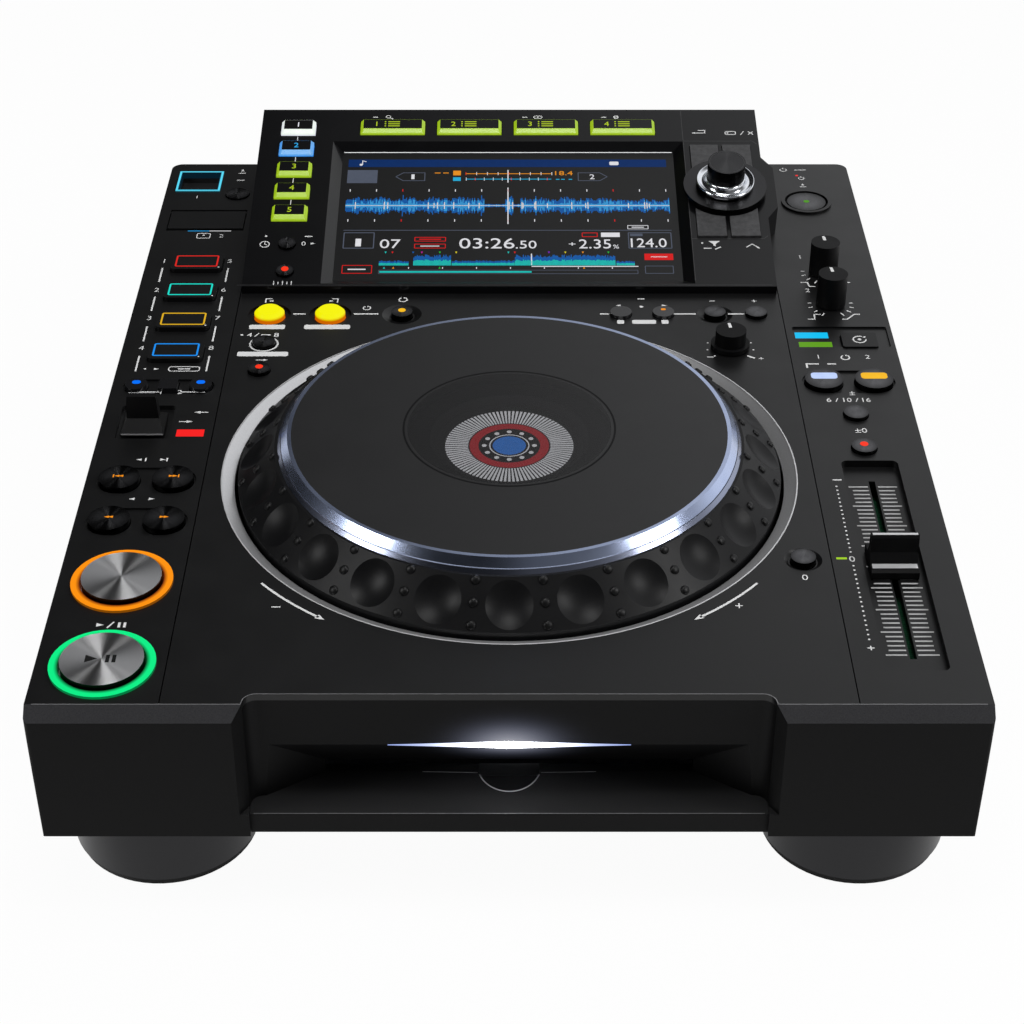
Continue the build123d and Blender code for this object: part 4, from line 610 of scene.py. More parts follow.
def lamps():
    """Every lamp window and light guide of the case, each in its own colour."""
    shader = Shader("lamps", Roughness=0.4, Specular_IOR_Level=0.1, Base_Color=(0.004, 0.004, 0.004))
    cue, play = middle("cue_button"), middle("play_button")
    usb = Vector((-145.2 * MM, 179.3 * MM, 0))
    well = (usb.x, usb.y, 9.35 * MM, 9.1 * MM)
    ring_reach, ring_inside, ring_full = 20 * MM, 15.0 * MM, 16.3 * MM
    mode_x, mode_half = right_x - 10 * MM, (9 * MM, 3.2 * MM)
    # painted shade: the light guides are dimmed inside the stick's well and on the inner edge of the cue and
    # play rings
    dim = shader.patches([(*well, (0.04, 0.07, 0.1))], (1, 1, 1))
    for button in (cue, play):
        inner = shader.range(shader.radius(button), ring_inside, ring_full)
        near = shader.math("LESS_THAN", shader.radius(button), ring_reach)
        painted_ring_shade = shader.math("MULTIPLY", near, shader.math("SUBTRACT", 1, inner))
        dim = shader.mix(painted_ring_shade, dim, (0.22, 0.12, 0.1))
    colour = shader.patches(
        [
            (cue.x, cue.y, ring_reach, ring_reach, (1, 0.29, 0.001)),
            (play.x, play.y, ring_reach, ring_reach, (0, 0.86, 0.24)),
            (usb.x, usb.y, 12 * MM, 12 * MM, (0.10, 0.72, 0.95)),
            (mode_x, front + 245.7 * MM, *mode_half, (0, 0.52, 0.90)),
            (mode_x, front + 237.9 * MM, *mode_half, (0.11, 0.33, 0.005)),
            (right_x - 17.7 * MM, front + 86.5 * MM, 3 * MM, 2 * MM, (0.35, 0.62, 0.01)),
        ],
        (0.95, 0.012, 0.012),
    )
    colour = shader.mix(1, colour, dim, "MULTIPLY")
    # the bar of light over the slot: white in the middle, fading into blue at its ends
    bar_reach, bar_depth, fade_reach = 45 * MM, 15 * MM, 41 * MM
    x, y, z = shader.axes()
    bar = shader.math(
        "MULTIPLY", shader.math("LESS_THAN", y, front + bar_depth), shader.within(x, 0, bar_reach)
    )
    along = shader.math("MINIMUM", shader.math("DIVIDE", shader.math("ABSOLUTE", x), fade_reach), 1)
    white = shader.mix(along, (1, 1, 1), (0.35, 0.45, 0.9))
    shader.set("Emission Color", shader.mix(bar, colour, white))
    fade = shader.math("POWER", shader.math("SUBTRACT", 1, along), 4)
    centre_light = shader.math("MULTIPLY", bar, fade)
    # painted shade: the lamps' walls glow at 0.22 of their tops, save the bar over the slot
    wall = shader.math("LESS_THAN", shader.normal()["Z"], 0.5)
    plain = shader.range(shader.math("SUBTRACT", wall, bar, clamp=True), 0, 1, 1, 0.22)
    shader.set("Emission Strength", shader.math("ADD", plain, shader.math("MULTIPLY", centre_light, 20)))
    return shader.material


give(lamps(), "light_guides")

# ---------------------------------------------------------------- jog
jog_axis = Vector((0, jog_y, deck))
give(grained("jog_black", (0.0055, 0.0055, 0.006), 0.4, grain=2200, specular=0.16), "jog_dial")
platter_grey = grained("platter_grey", (0.0075, 0.0075, 0.008), 0.4, 3000, depth=0.1, specular=0.4)
give(platter_grey, "jog_platter", "jog_display")


def polished_rim():
    """Polished metal with a cold tint, in an upper and a lower band with a fine step between."""
    step_height = deck + 14.9 * MM
    shader = Shader("polished_rim", Metallic=1)
    x, y, z = shader.axes()
    step = shader.range(z, step_height - 0.15 * MM, step_height + 0.15 * MM)
    upper = shader.speckle(120, (0.44, 0.52, 0.76), (0.56, 0.64, 0.86))
    shader.set("Base Color", shader.mix(step, (0.30, 0.33, 0.44), upper))
    shader.set("Roughness", shader.range(shader.noise(40), 0.3, 0.7, 0.19, 0.25))
    shader.bump(step, 0.6, 0.3 * MM)
    return shader.material


def silver_ring():
    """Satin silver paint."""
    shader = Shader("silver_ring", Metallic=0.8, Roughness=0.38)
    shader.set("Base Color", shader.speckle(1800, (0.55, 0.55, 0.56), (0.72, 0.72, 0.73)))
    shader.bump(shader.noise(2600, 1), 0.15, 0.05 * MM)
    return shader.material


def clear_window():
    """A smoked disc, clear enough in the middle for the lit picture under it to show."""
    clear_radius, smoke = 38.4 * MM, 0.76
    shader = Shader("clear_window", Specular_IOR_Level=0.4, Roughness=0.35)
    clear = shader.math("LESS_THAN", shader.radius(jog_axis), clear_radius)
    shader.set("Base Color", shader.speckle(900, (0.0075, 0.0075, 0.008), (0.010, 0.010, 0.0105)))
    shader.set("Alpha", shader.range(clear, 0, 1, 1, smoke))
    return shader.material


give(polished_rim(), "jog_rim")
give(silver_ring(), "jog_trim_ring")
give(clear_window(), "jog_window")


def dial_studs():
    """Three small studs in a row between each two finger grips."""
    count, per_row = 24, 3
    outer, inner = 101.4, 89.6             # radii of the first and last stud's middle
    skirt_radius, top_radius, flank_height = 103, 88.5, 13.3
    stud_radius, stud_rise, stud_depth, rings = 1.75, 1, 0.6, 3
    slope = flank_height / (skirt_radius - top_radius)
    mesh = bmesh.new()
    for gap in range(count):
        turn = Matrix.Rotation(2 * math.pi * (gap + 0.5) / count - math.pi / 2, 4, "Z")
        for row in range(per_row):
            radius = outer + (inner - outer) * row / (per_row - 1)
            height = slope * (skirt_radius - radius)
            lean = Matrix.Rotation(math.pi / 2 - math.atan(slope), 4, "Y")
            place = dial_level(deck) @ turn @ Matrix.Translation((radius, 0, height)) @ lean
            profile = [(stud_radius, -stud_depth)]
            for ring in range(rings):
                a = math.pi / 2 * ring / rings
                profile.append((stud_radius * math.cos(a) ** 0.7, stud_rise * math.sin(a)))
            skin(mesh, place, revolved(profile, 16))
    return piece("dial_studs", "jog", mesh, black_satin, smooth=True)


dial_studs()

# ---------------------------------------------------------------- inks and small lights
ink_white = printed("ink_white", (0.72, 0.72, 0.72))
ink_grey = printed("ink_grey", (0.42, 0.42, 0.42))
ink_black = printed("ink_black", (0.004, 0.004, 0.004))
lit_white = glowing("lit_white", (0.95, 0.95, 1), 0.9)
lit_red = glowing("lit_red", (1, 0.035, 0.01))
lit_orange = glowing("lit_orange", (1, 0.30, 0.01), 0.95)
lit_amber = glowing("lit_amber", (1, 0.50, 0.01), 0.95)
lit_blue = glowing("lit_blue", (0, 0.16, 1))
lit_cyan = glowing("lit_cyan", (0.02, 0.42, 0.95))
lit_lavender = glowing("lit_lavender", (0.50, 0.62, 1))
lit_green = glowing("lit_green", (0.07, 0.30, 0.004), 0.9)

# ---------------------------------------------------------------- printing on the deck
deck_marks = Marks("deck_marks", "case", deck_at(), ink_white)
# numbers beside the four pads, joined by upright lines down to the bank keys
for column, x in enumerate((-152.1, -123.3)):
    for row, y in enumerate((102, 76, 51.8, 27.1)):
        deck_marks.digits(str(1 + row + 4 * column), x, y, 3.3)
    for high, low in ((95.6, 83), (70, 57.8), (44.8, 32.5), (20.6, 8.6)):
        deck_marks.line([(x, high), (x, low)], 0.7)
# the bracket under the bank keys, and a small mark and frame above them
for side in (-1, 1):
    end = -135.85 + side * 13.45
    deck_marks.line([(end, -6), (end, -7.4), (end - side * 9, -7.4)], 0.6)
deck_marks.draw(
    disc=[(-148.4, 10.4, 0.55)],
    triangle=[(-144.2, 10.4, 1.6)],
    frame=[(-132.5, 10.4, 13, 3.9, 0.45, 1)],
    bar=[(-132.5, 10.4, 5, 0.7)],
    digits=[("1", -139.6, -7.4, 3), ("2", -132.1, -7.4, 3)],
)
# direction lever: an arrow each way; signs above the search buttons and the play button
deck_marks.draw(
    arrow=[(-122.6, -22.6, 1.9, 180, 3), (-126.2, -29.4, 1.9, 0, 3)],
    bar=[
        (-139.2, -56.4, 0.6, 2.2), (-131, -56.4, 0.6, 2.2),
        (-134.6, -159.5, 0.9, 2.8), (-132.7, -159.5, 0.9, 2.8),
    ],
    triangle=[
        (-141.3, -56.4, 1.6, 180), (-133.1, -56.4, 1.6), (-140.4, -82.9, 1.6, 180), (-134, -82.9, 1.6),
        (-141.8, -159.5, 2),
    ],
    line=[([(-138.6, -161.2), (-136.6, -157.8)], 0.6)],
)
# eject signs beside the stick's well, and the card's outline at its door
deck_marks.draw(
    triangle=[(-126.2, 190.9, 1.8, 90), (-137.5, 126, 1.1, 90)],
    bar=[(-126.2, 188.4, 3.4, 0.7), (-126.2, 181, 3.6, 0.8)],
    frame=[(-137.5, 125.6, 6.4, 5, 0.5, 0.7)],
    digits=[("1", -144.8, 163.8, 3), ("2", -129.5, 125.6, 3)],
)
# loop row: dashes between the keys, plain pills and signs over and under them
for x, width in ((-89, 5.2), (-60.7, 10.4), (40.4, 4), (74.2, 9.6), (96.1, 6.8)):
    deck_marks.bar(x, 55.2, width, 0.9)
for x, y, width in ((-101.7, 44.3, 15.1), (-76.5, 44.3, 19.3), (-101.6, 22.2, 21)):
    deck_marks.pill(x, y, width, 3.6, 0.9)
for x, width in ((56.8, 10.1), (46.9, 3), (65.6, 3)):
    deck_marks.pill(x, 48.5, width, 3.2, 0.7)
deck_marks.draw(
    line=[
        ([(-104.2, 65), (-104.2, 68.2), (-101.6, 68.2)], 0.6),
        ([(-73.4, 65), (-73.4, 68.2), (-76, 68.2)], 0.6), ([(-106.2, 36.2), (-104.6, 39.2)], 0.5),
    ],
    triangle=[
        (-101.4, 66.3, 1.5, 180), (-76.4, 66.3, 1.5), (-44.9, 69, 1.1), (-60.1, 61.6, 1),
        (46.9, 62.4, 1.6, 180), (65.6, 62.4, 1.6),
    ],
    arc=[(-45.5, 67.4, 1.7, 0.6, 120, 300), (-60.6, 60.2, 1.5, 0.55, 120, 300), (-101.8, 30.3, 5.75, 0.75)],
    arrow=[(-100.4, 17.4, 1.4, 0, 3.2)],
    disc=[(-111.6, 37.7, 0.6), (56.2, 61.4, 0.8)],
    digits=[
        ("4", -108.4, 37.7, 3.3), ("8", -97.2, 37.7, 3.3), ("−", 86.8, 66.3, 3.6), ("+", 104.7, 66.3, 3.3),
    ],
    bar=[(-101.6, 37.7, 4, 0.8), (56.4, 68.1, 3, 0.7)],
)
# dots round the jog-adjust knob, with a light and a heavy sign, and the signs of tempo reset and turning
for i in range(9):
    a = math.radians(225.0 - 270.0 * i / 8)
    deck_marks.disc(91.3 + 9.7 * math.cos(a), 27.5 + 9.7 * math.sin(a), 0.42, 10)
deck_marks.draw(
    bar=[(82.6, 19.8, 2.6, 0.6)],
    line=[([(98.4, 20.4), (100.8, 18.9)], 0.9)],
    digits=[
        ("+", 103.4, 18.6, 3), ("0", 105, -132, 3.3), ("−", -81.4, -149.3, 4.6), ("+", 80.2, -148.6, 4),
    ],
)
# the two turning arrows in front of the dial
arrow_radius, arrow_turn, arrow_start = 115, 14.6, 130.3
for side in (-1, 1):
    end = math.radians(90.0 - side * (arrow_start + arrow_turn))
    deck_marks.arc(0, jog_y / MM, arrow_radius, 0.9, 90.0 - side * arrow_start, -side * arrow_turn, 12)
    tip = (arrow_radius * math.cos(end), jog_y / MM + arrow_radius * math.sin(end))
    deck_marks.triangle(*tip, 2.6, math.degrees(end) - side * 90)
# right-hand column: eject signs, then the ticks and the step and ramp signs of the two speed knobs
deck_marks.draw(
    arc=[(129.8, 191.8, 1.5, 0.5, 125, 290), (137.4, 183, 1.3, 0.45, 125, 290)],
    bar=[
        (129.8, 193.2, 0.5, 1.6), (137.8, 191.8, 5.6, 0.6), (137.4, 184.3, 0.45, 1.4),
        (137.4, 174.2, 2.9, 0.6),
    ],
    triangle=[(137.4, 176.2, 1.5, 90)],
)
for knob_y in (91.4, 63.3):
    for side in (-1, 1):
        for tick, angle in enumerate((8, -16, -40, -64)):
            a = math.radians(angle if side > 0 else 180.0 - angle)
            reach = (8.1, 9.7 + 0.3 * tick)
            deck_marks.line([(137.1 + r * math.cos(a), knob_y + r * math.sin(a)) for r in reach], LINE)
for points in (
    ((126.4, 82.6), (129.3, 82.6), (129.8, 79), (132.4, 79)),
    ((126.1, 50.8), (129, 50.8), (129.2, 54.9), (132.1, 54.9)),
    ((140.6, 50.8), (142.7, 50.8), (146.2, 54.9), (148.6, 54.9)),
    ((141.8, 79), (144.4, 79), (145, 82.6), (147.9, 82.6)),
):
    deck_marks.line(points, 0.6)
# jog mode, sync bracket and tempo, with the numbers of this column
deck_marks.draw(
    line=[([(121.5, 11.2), (121.5, 14.3), (126.6, 14.3)], 0.8), ([(130, 14.3), (133.6, 14.3)], 0.8)],
    arc=[(138, 19.4, 1.7, 0.6, 120, 300)],
    triangle=[(138.6, 21, 1.1)],
    digits=[
        ("1", 128.6, 105.6, 3), ("2", 128.6, 75.6, 3), ("1", 127, 20, 3), ("2", 147.2, 20, 3),
        ("±", 137.3, -8.4, 3.3), ("±0", 137.3, -35.8, 3.3),
    ],
)
for number, x in (("6", 127.4), ("10", 134.8), ("16", 142.4)):
    deck_marks.digits(number, x, -13.4, 3)
for x in (130.6, 138.6):
    deck_marks.line([(x - 0.5, -14.7), (x + 0.5, -12.1)], 0.4)
# scale beside the fader: dots between minus, nought and plus
deck_marks.draw(
    bar=[(123.8, -70.3, 3.4, 0.7)],
    digits=[("0", 123.1, -120.9, 3.3), ("+", 123.1, -172.3, 3.6)],
)
for i in range(17):
    for start, end in ((-74.6, -116.6), (-125, -167.6)):
        deck_marks.disc(123.1, start + (end - start) * i / 16, 0.42, 8)
deck_marks.done()

fader_low, fader_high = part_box("tempo_fader")
fader_x, fader_y = (fader_low.x + fader_high.x) / 2 / MM, (fader_low.y + fader_high.y) / 2 / MM


def fader_scale():
    """Ticks on the floor of the fader's pocket, each fifth one longer, either side of the slot."""
    marks = Marks("fader_scale", "case", deck_at(fader_x, fader_y, -3), ink_grey)
    first, last, count, slot_side = 50.1, -51.7, 41, 1.9
    for i in range(count):
        y = first + (last - first) * i / (count - 1)
        reach = 9.2 if i % 5 == 0 else 7.9
        for side in (-1, 1):
            marks.bar(side * (slot_side + reach) / 2, y, reach - slot_side, 0.75)
    marks.done()


fader_scale()

# ---------------------------------------------------------------- pads, keys and buttons
pad_glow = {
    "red": (0.72, 0.02, 0.015), "teal": (0.012, 0.76, 0.62), "yellow": (0.76, 0.44, 0.015),
    "blue": (0.012, 0.28, 0.90),
}
for letter, colour in zip("abcd", pad_glow):
    node = f"hot_cue_button_{letter}"
    lit = glowing("pad_" + colour, pad_glow[colour], 0.95)
    mark(node + "_frame", node, top_of(node), lit, frame=[(0, 0.3, 18.7, 10, 0.7, 0.2)])
    mark(node + "_dot", node, top_of(node), ink_white, disc=[(9.9, -5.2, 0.4, 10)])

# skip signs: two triangles in a row, with a bar beyond them on the track keys
for side, way, angle in ((-1, "back", 180), (1, "forward", 0)):
    triangles = [(side * (step - 0.3), 0.6, 1.35, angle) for step in (-0.75, 0.75)]
    for name, bars in (("track_search", [(side * 2.2, 0.6, 0.45, 1.9)]), ("search", [])):
        node = f"{name}_{way}_button"
        mark(node + "_sign", node, top_of(node), lit_orange, triangle=triangles, bar=bars)

# small lit windows
for side in (-1, 1):
    window = (side * 12.95, 1, 3.5, 2.6, 1.2)
    mark(f"bank_light_{side + 1}", "bank_keys", top_of("bank_keys"), lit_blue, pill=[window])
for name, body, material, window in (
    ("reloop_button_light", "reloop_button", lit_amber, (0, 0.9, 3.2, 3.2, 1.6)),
    ("slip_button_light", "slip_button", lit_red, (0, 0.9, 3.2, 3.2, 1.6)),
    ("master_tempo_button_light", "master_tempo_button", lit_red, (0, 0.9, 3.2, 3.2, 1.6)),
    ("quantize_button_light", "quantize_button", lit_red, (0, 0.9, 3.2, 3.2, 1.6)),
    ("eject_light", "eject_button", lit_green, (0, 0.2, 2.6, 2.4, 1.1)),
    ("sync_light", "sync_button", lit_lavender, (0.2, 1.9, 10.6, 4.6, 1.4)),
    ("master_light", "master_button", lit_amber, (0.2, 1.9, 10.6, 4.6, 1.4)),
    ("call_light", "call_keys", lit_orange, (9, 1.6, 2, 1.4, 0.5)),
):
    plane = slope_at(-97.1, 9.7, 1) if body == "quantize_button" else top_of(body)
    mark(name, body, plane, material, pill=[window])

mark(
    "play_sign", "play_button", top_of("play_button"), ink_black,
    area=[([(-5.6, -2), (-1.5, 0), (-5.6, 2)],)], bar=[(2, 0, 1.3, 4), (4.2, 0, 1.3, 4)],
)
mark(
    "jog_mode_sign", "jog_mode_button", top_of("jog_mode_button"), ink_white,
    arc=[(0, 0, 2.6, 0.6, 60, 300)], triangle=[(2.2, 1.9, 1.2, 50)], disc=[(0, 0, 0.8, 12)],
)
for node in knobs:
    mark(node + "_pointer", node, top_of(node), ink_white, line=[([(-0.1, 1.6), (-0.45, 5.3)], 1.3)])


# ---------------------------------------------------------------- tapered translucent keys
KEY_RISE = 1.8                  # above the sloping face
plate_level = KEY_RISE + 0.05
key_green = (0.30, 0.46, 0.012)
key_blue = (0.01, 0.25, 0.95)
key_white = (0.85, 0.86, 1)


def key_rings(x, up, width, depth):
    """The outlines of one key from its skirt to its top, whose middle lies towards the rear."""
    rings = []
    for shrink, shift, z, corner in (
        (0, 0, -1.5, 0.9), (0, 0, 0.35, 0.9), (0.35, 0.1, 0.75, 0.8), (0.95, 0.65, 1.6, 0.6),
        (1.2, 0.8, KEY_RISE, 0.5),
    ):
        outline = rounded(x, up + shift, width - 2 * shrink, depth - 2 * shrink - 1.1 * shift, corner)
        rings.append((outline, z))
    return rings


def lit_key_row(node, places, width, depth, rows):
    """Replace a node's plain keys with tapered ones whose tops carry a black plate."""
    mesh = bmesh.new()
    for x, up in places:
        skin(mesh, slope_at(), key_rings(x, up, width, depth))
    made = piece(node + "_caps", node, mesh, lit_keys(node, rows, key_green))
    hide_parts(node)
    plates = [(x, up + 0.8, width - 2.7, depth - 3.5, 0.3) for x, up in places]
    mark(node + "_plates", node, slope_at(0, 0, KEY_RISE), gloss_black, pill=plates)


source_pitch = 15.75
source_places = [(-97.8, 112.7 - source_pitch * row) for row in range(5)]
browse_places = [(-54.1 + 35.55 * column, 113.2) for column in range(4)]
source_low, source_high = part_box("source_keys")
source_x, source_y = (source_low.x + source_high.x) / 2, source_high.y - 5.0 * MM
source_colours = [
    (source_x, source_y, 10 * MM, 8 * MM, key_white),
    (source_x, source_y - source_pitch * MM, 10 * MM, 7 * MM, key_blue),
]
lit_key_row("source_keys", source_places, 15.8, 10.2, source_colours)
lit_key_row("browse_keys", browse_places, 29.8, 10.2, [])
number_inks = {
    "white": glowing("key_ink_white", (0.85, 0.86, 1), 0.9),
    "blue": glowing("key_ink_blue", (0.03, 0.45, 0.95), 0.9),
    "green": glowing("key_ink_green", (0.46, 0.62, 0.02), 0.9),
}
inks = ("white", "blue", "green", "green", "green")
for number, (ink, (x, up)) in enumerate(zip(inks, source_places), 1):
    plane = slope_at(0, 0, plate_level)
    digits = [(str(number), x, up + 0.8, 3.4)]
    mark(f"source_number_{number}", "source_keys", plane, number_inks[ink], digits=digits)
browse_signs = Marks("browse_signs", "browse_keys", slope_at(0, 0, plate_level), number_inks["green"])
for column, (x, up) in enumerate(browse_places):
    for line_up in (2.4, 0.8, -0.8):
        browse_signs.bar(x + 0.6, up + line_up, 5.4, 0.6)
        browse_signs.disc(x - 3.4, up + line_up, 0.4, 8)
    browse_signs.digits(str(column + 1), x - 7.4, up + 0.8, 3.4)
browse_signs.done()


# ---------------------------------------------------------------- the screen behind the glass
SCREEN_LEVEL = -3.5             # the glass's face, under the display's sloping plane
LAYER_TOP = 0.06                # of a bright colour; a dark one has a lower top of its own
screen_layers = {}
for colour, shade, *top in (
    ("title", (0.002, 0.026, 0.13), 0.02), ("white", (0.80, 0.80, 0.84)), ("grey", (0.085, 0.10, 0.14), 0.02),
    ("orange", (0.85, 0.30, 0.015)), ("cyan", (0.02, 0.45, 0.75)), ("red", (0.72, 0.012, 0.012)),
    ("blue", (0.006, 0.12, 0.45), 0.03), ("pale", (0.045, 0.38, 0.80), 0.045), ("teal", (0.012, 0.55, 0.50)),
    ("magenta", (0.55, 0.01, 0.35)), ("green", (0.02, 0.50, 0.04)), ("yellow", (0.72, 0.60, 0.02)),
    ("purple", (0.25, 0.02, 0.60)),
):
    name, plane = "screen_" + colour, slope_at(0, 0, SCREEN_LEVEL)
    thick = top[0] if top else LAYER_TOP
    screen_layers[colour] = Marks(name, "case", plane, glowing(name, shade, 0.85), thick, 0.02)


def between(left, right, low, high):
    """The middle and the size of a box given by its sides."""
    return (left + right) / 2, (low + high) / 2, right - left, high - low


def fills(**rows):
    """Filled boxes of each colour, by their sides."""
    for colour, sides in rows.items():
        screen_layers[colour].draw(bar=[between(*box) for box in sides])


def frames(**rows):
    """Outlined boxes of each colour, by their sides and the line's width."""
    for colour, sides in rows.items():
        screen_layers[colour].draw(frame=[(*between(*box), line) for *box, line in sides])


def figures(colour, *rows):
    """Numbers and signs of a colour, each stretched to fill the box whose sides follow it."""
    for text, *sides in rows:
        x, y, width, height = between(*sides)
        screen_layers[colour].digits(text, x, y, height, width)


def screen_title():
    """The title line with its sign, the track's tags and the phrase lines under it."""
    note = [(-67.3, 90), (-67.3, 92.9), (-65.6, 92.2)]
    white = screen_layers["white"]
    white.draw(disc=[(-67.9, 90, 0.75, 12)], line=[(note, 0.4)], pill=[(48, 91, 4.2, 2.6, 0.6)])
    for side, tip, base in ((1, -51.7, -38.5), (-1, 44.6, 31.4)):
        back = tip + side * 3.4
        outline = [(tip, 81.1), (back, 84), (base, 84), (base, 78.2), (back, 78.2), (tip, 81.1)]
        screen_layers["grey"].line(outline, 0.4)
    fills(
        title=[(-73.7, 71.9, 88.3, 93.9)],
        grey=[(-73.8, -60.1, 76.4, 86)],
        orange=[
            (-25.6, -22.1, 82.1, 85.5), (-34, -31.4, 83.6, 84.1), (-30.2, -27.6, 83.6, 84.1),
            (-19.8, 19.1, 83.1, 83.5),
        ],
        cyan=[(-25.6, -22.1, 78, 80.6), (-19.8, 19.1, 79.1, 79.5)],
        white=[(-0.85, -0.35, 76.8, 86)],
    )
    for count, first, pitch, low, reds in ((9, -19.8, 4.9, 82.3, (0, 4)), (10, -19.6, 4.1, 78.3, (1, 5, 9))):
        for i in range(count):
            tick = (first + pitch * i - 0.16, first + pitch * i + 0.16, low, low + 2.1)
            fills(**{"red" if i in reds else "white": [tick]})
    fills(cyan=[(x, x + 1.6, 78.9, 79.4) for x in (21.2, 23.6, 27)])
    figures("white", ("1", -44.6, -43.2, 79.3, 82.8), ("2", 36.6, 38.8, 79.3, 82.8))
    figures("orange", ("18.4", 20.9, 28.9, 82.2, 85.2))


def screen_wave():
    """The moving wave: bars of sound about a line, in three shades, with the beats' ticks."""
    chance = random.Random(7)
    left, right, middle_up, reach, pitch, beat_pitch = -73.6, 72.0, 60.0, 8.0, 0.52, 11.9
    quiet, softer_from = ((-11, -2), (2, 5)), 46.0
    for i in range(int((right - left) / pitch)):
        x = left + (i + 0.5) * pitch
        beat = (x + 0.6) % beat_pitch / beat_pitch
        level = (0.66 + 0.34 * math.exp(-3.0 * beat)) * (0.55 + 0.45 * chance.random())
        if any(start < x < end for start, end in quiet):
            level *= 0.22
        if x > softer_from:
            level *= 0.75
        loud = chance.random()
        pale, white = 0.75 if loud > 0.55 else 0.3, 0.45 if loud > 0.93 else 0.04
        for colour, share in (("blue", 1), ("pale", pale), ("white", white)):
            screen_layers[colour].bar(x, middle_up, pitch * 0.8, 2 * max(0.2, reach * level * share))
    for i in range(-6, 7):
        x = -0.6 + beat_pitch * i
        if left + 0.6 < x < right - 0.5:
            ticks = [(x - 0.2, x + 0.2, low, low + 1.6) for low in (70.2, 48.6)]
            fills(**{"white" if i % 4 else "red": ticks})
    fills(white=[(-0.85, -0.35, 46.9, 73)], grey=[(left, right, 42.3, 42.7)])


def screen_numbers():
    """Player, time, tempo and beats."""
    figures(
        "white", ("1", -67.9, -65.4, 31.2, 36.6), ("07", -57.1, -48, 30, 36.1),
        ("03:26", -22.1, 2.3, 29.8, 36.9), ("50", 4.6, 12, 29.8, 35.2), ("+", 26.2, 29.2, 31.4, 34.4),
        ("2.35", 30.7, 44.8, 29.8, 36.1), ("%", 45.7, 48.3, 29.8, 32.4), ("124.0", 53.6, 69.4, 30.6, 36.8),
    )
    frames(
        grey=[(-73.4, -59.6, 29.8, 41, 0.5), (52.5, 71.8, 29.8, 41, 0.45)],
        red=[
            (-41.9, -28, 34.7, 37.7, 0.35), (-41.9, -28, 29.9, 33, 0.35), (32.1, 39.1, 37.8, 40.8, 0.35),
        ],
        white=[(52.5, 61.8, 43.3, 46, 0.28)],
    )
    fills(
        red=[(-39.8, -30.2, 35.9, 36.5)],
        white=[
            (-39.2, -30.8, 31.2, 31.7), (2.9, 3.7, 29.8, 30.6), (40.6, 48.9, 37.8, 40.8),
            (54.4, 59.8, 44.4, 44.9),
        ],
        grey=[(53.4, 59, 38.4, 40.2)],
    )


def screen_overview():
    """The whole track as one low picture, with its cue points over and under it."""
    chance = random.Random(11)
    base = 18.2
    for x, right, high in (
        (-57, -43.7, 3.4), (-42, -25.2, 7.4), (-25.2, 2.2, 3.6), (2.4, 46.6, 7.4), (46.8, 55, 3.2)
    ):
        while x < right - 0.3:
            level = high * (0.72 + 0.28 * chance.random())
            screen_layers["blue"].bar(x + 0.25, base + level / 2, 0.42, level)
            screen_layers["teal"].bar(x + 0.25, base + level * 0.27, 0.42, level * 0.54)
            x += 0.5
    for x, colour in (
        (-54.3, "teal"), (-51.3, "red"), (-42.2, "blue"), (-38.4, "magenta"), (-30.5, "green"),
        (-23.3, "yellow"), (-0.4, "teal"), (2.4, "red"), (17.4, "purple"), (24.6, "yellow"), (32.3, "orange"),
        (43.5, "green"),
    ):
        screen_layers[colour].triangle(x, 27.3, 0.95, -90)
    for x, colour in ((-54.6, "teal"), (-50.6, "orange"), (-30.4, "green"), (32.6, "orange")):
        screen_layers[colour].triangle(x, 16.4, 0.95, 90)
    fills(
        white=[
            (9.45, 9.95, 18.4, 26.2), (9.7, 56.3, 17.3, 17.8), (62, 69.2, 23.7, 24.4),
            (-70.4, -62.6, 15.2, 15.9),
            *[(-44.1 + 14.8 * i, -43.7 + 14.8 * i, 16, 17) for i in range(7)],
        ],
        teal=[(-56.5, 9.7, 13.3, 14.4)],
        red=[(59.2, 71.8, 21.9, 26.2)],
    )
    frames(
        grey=[(-57, 56.1, 12.5, 15.2, 0.3), (59.1, 71.6, 12.7, 18, 0.35)],
        red=[(-73, -59.8, 12.7, 18.4, 0.35)],
    )


screen_title()
screen_wave()
screen_numbers()
screen_overview()
for layer in screen_layers.values():
    layer.done()


# ---------------------------------------------------------------- the round display under the dial's window
def jog_picture():
    """Spokes, a red ring, a ring of white dots and a blue middle."""
    plane = dial_level(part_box("jog_display")[1].z)
    spokes, spoke_share, inner, outer = 96, 0.58, 15.6, 24.3
    rays = []
    for i in range(spokes):
        left, right = (2 * math.pi / spokes * (i + side * spoke_share / 2) for side in (-1, 1))
        corners = ((inner, left), (outer, left), (outer, right), (inner, right))
        rays.append(([(r * math.cos(a), r * math.sin(a)) for r, a in corners],))
    dots = [(x, y, 0.95, 12) for x, y in circle(0, 0, 9.5, 12)]
    for name, colour, strength, shapes in (
        ("dial_rays", (0.80, 0.81, 0.85), 6.2, {"area": rays}),
        ("dial_red", (0.42, 0.01, 0.018), 6.4, {"arc": [(0, 0, 13.4, 3.4, 0, 360, 72)]}),
        ("dial_dots", (0.88, 0.89, 0.95), 6, {"disc": dots, "arc": [(0, 0, 7.4, 0.45, 0, 360, 48)]}),
        ("dial_middle", (0.025, 0.19, 0.66), 6.6, {"disc": [(0, 0, 6.3, 48)]}),
    ):
        mark(name, "case", plane, glowing(name, colour, strength), **shapes)


jog_picture()

# ---------------------------------------------------------------- printing on the display housing
slope_marks = Marks("display_marks", "case", slope_at(), ink_white)
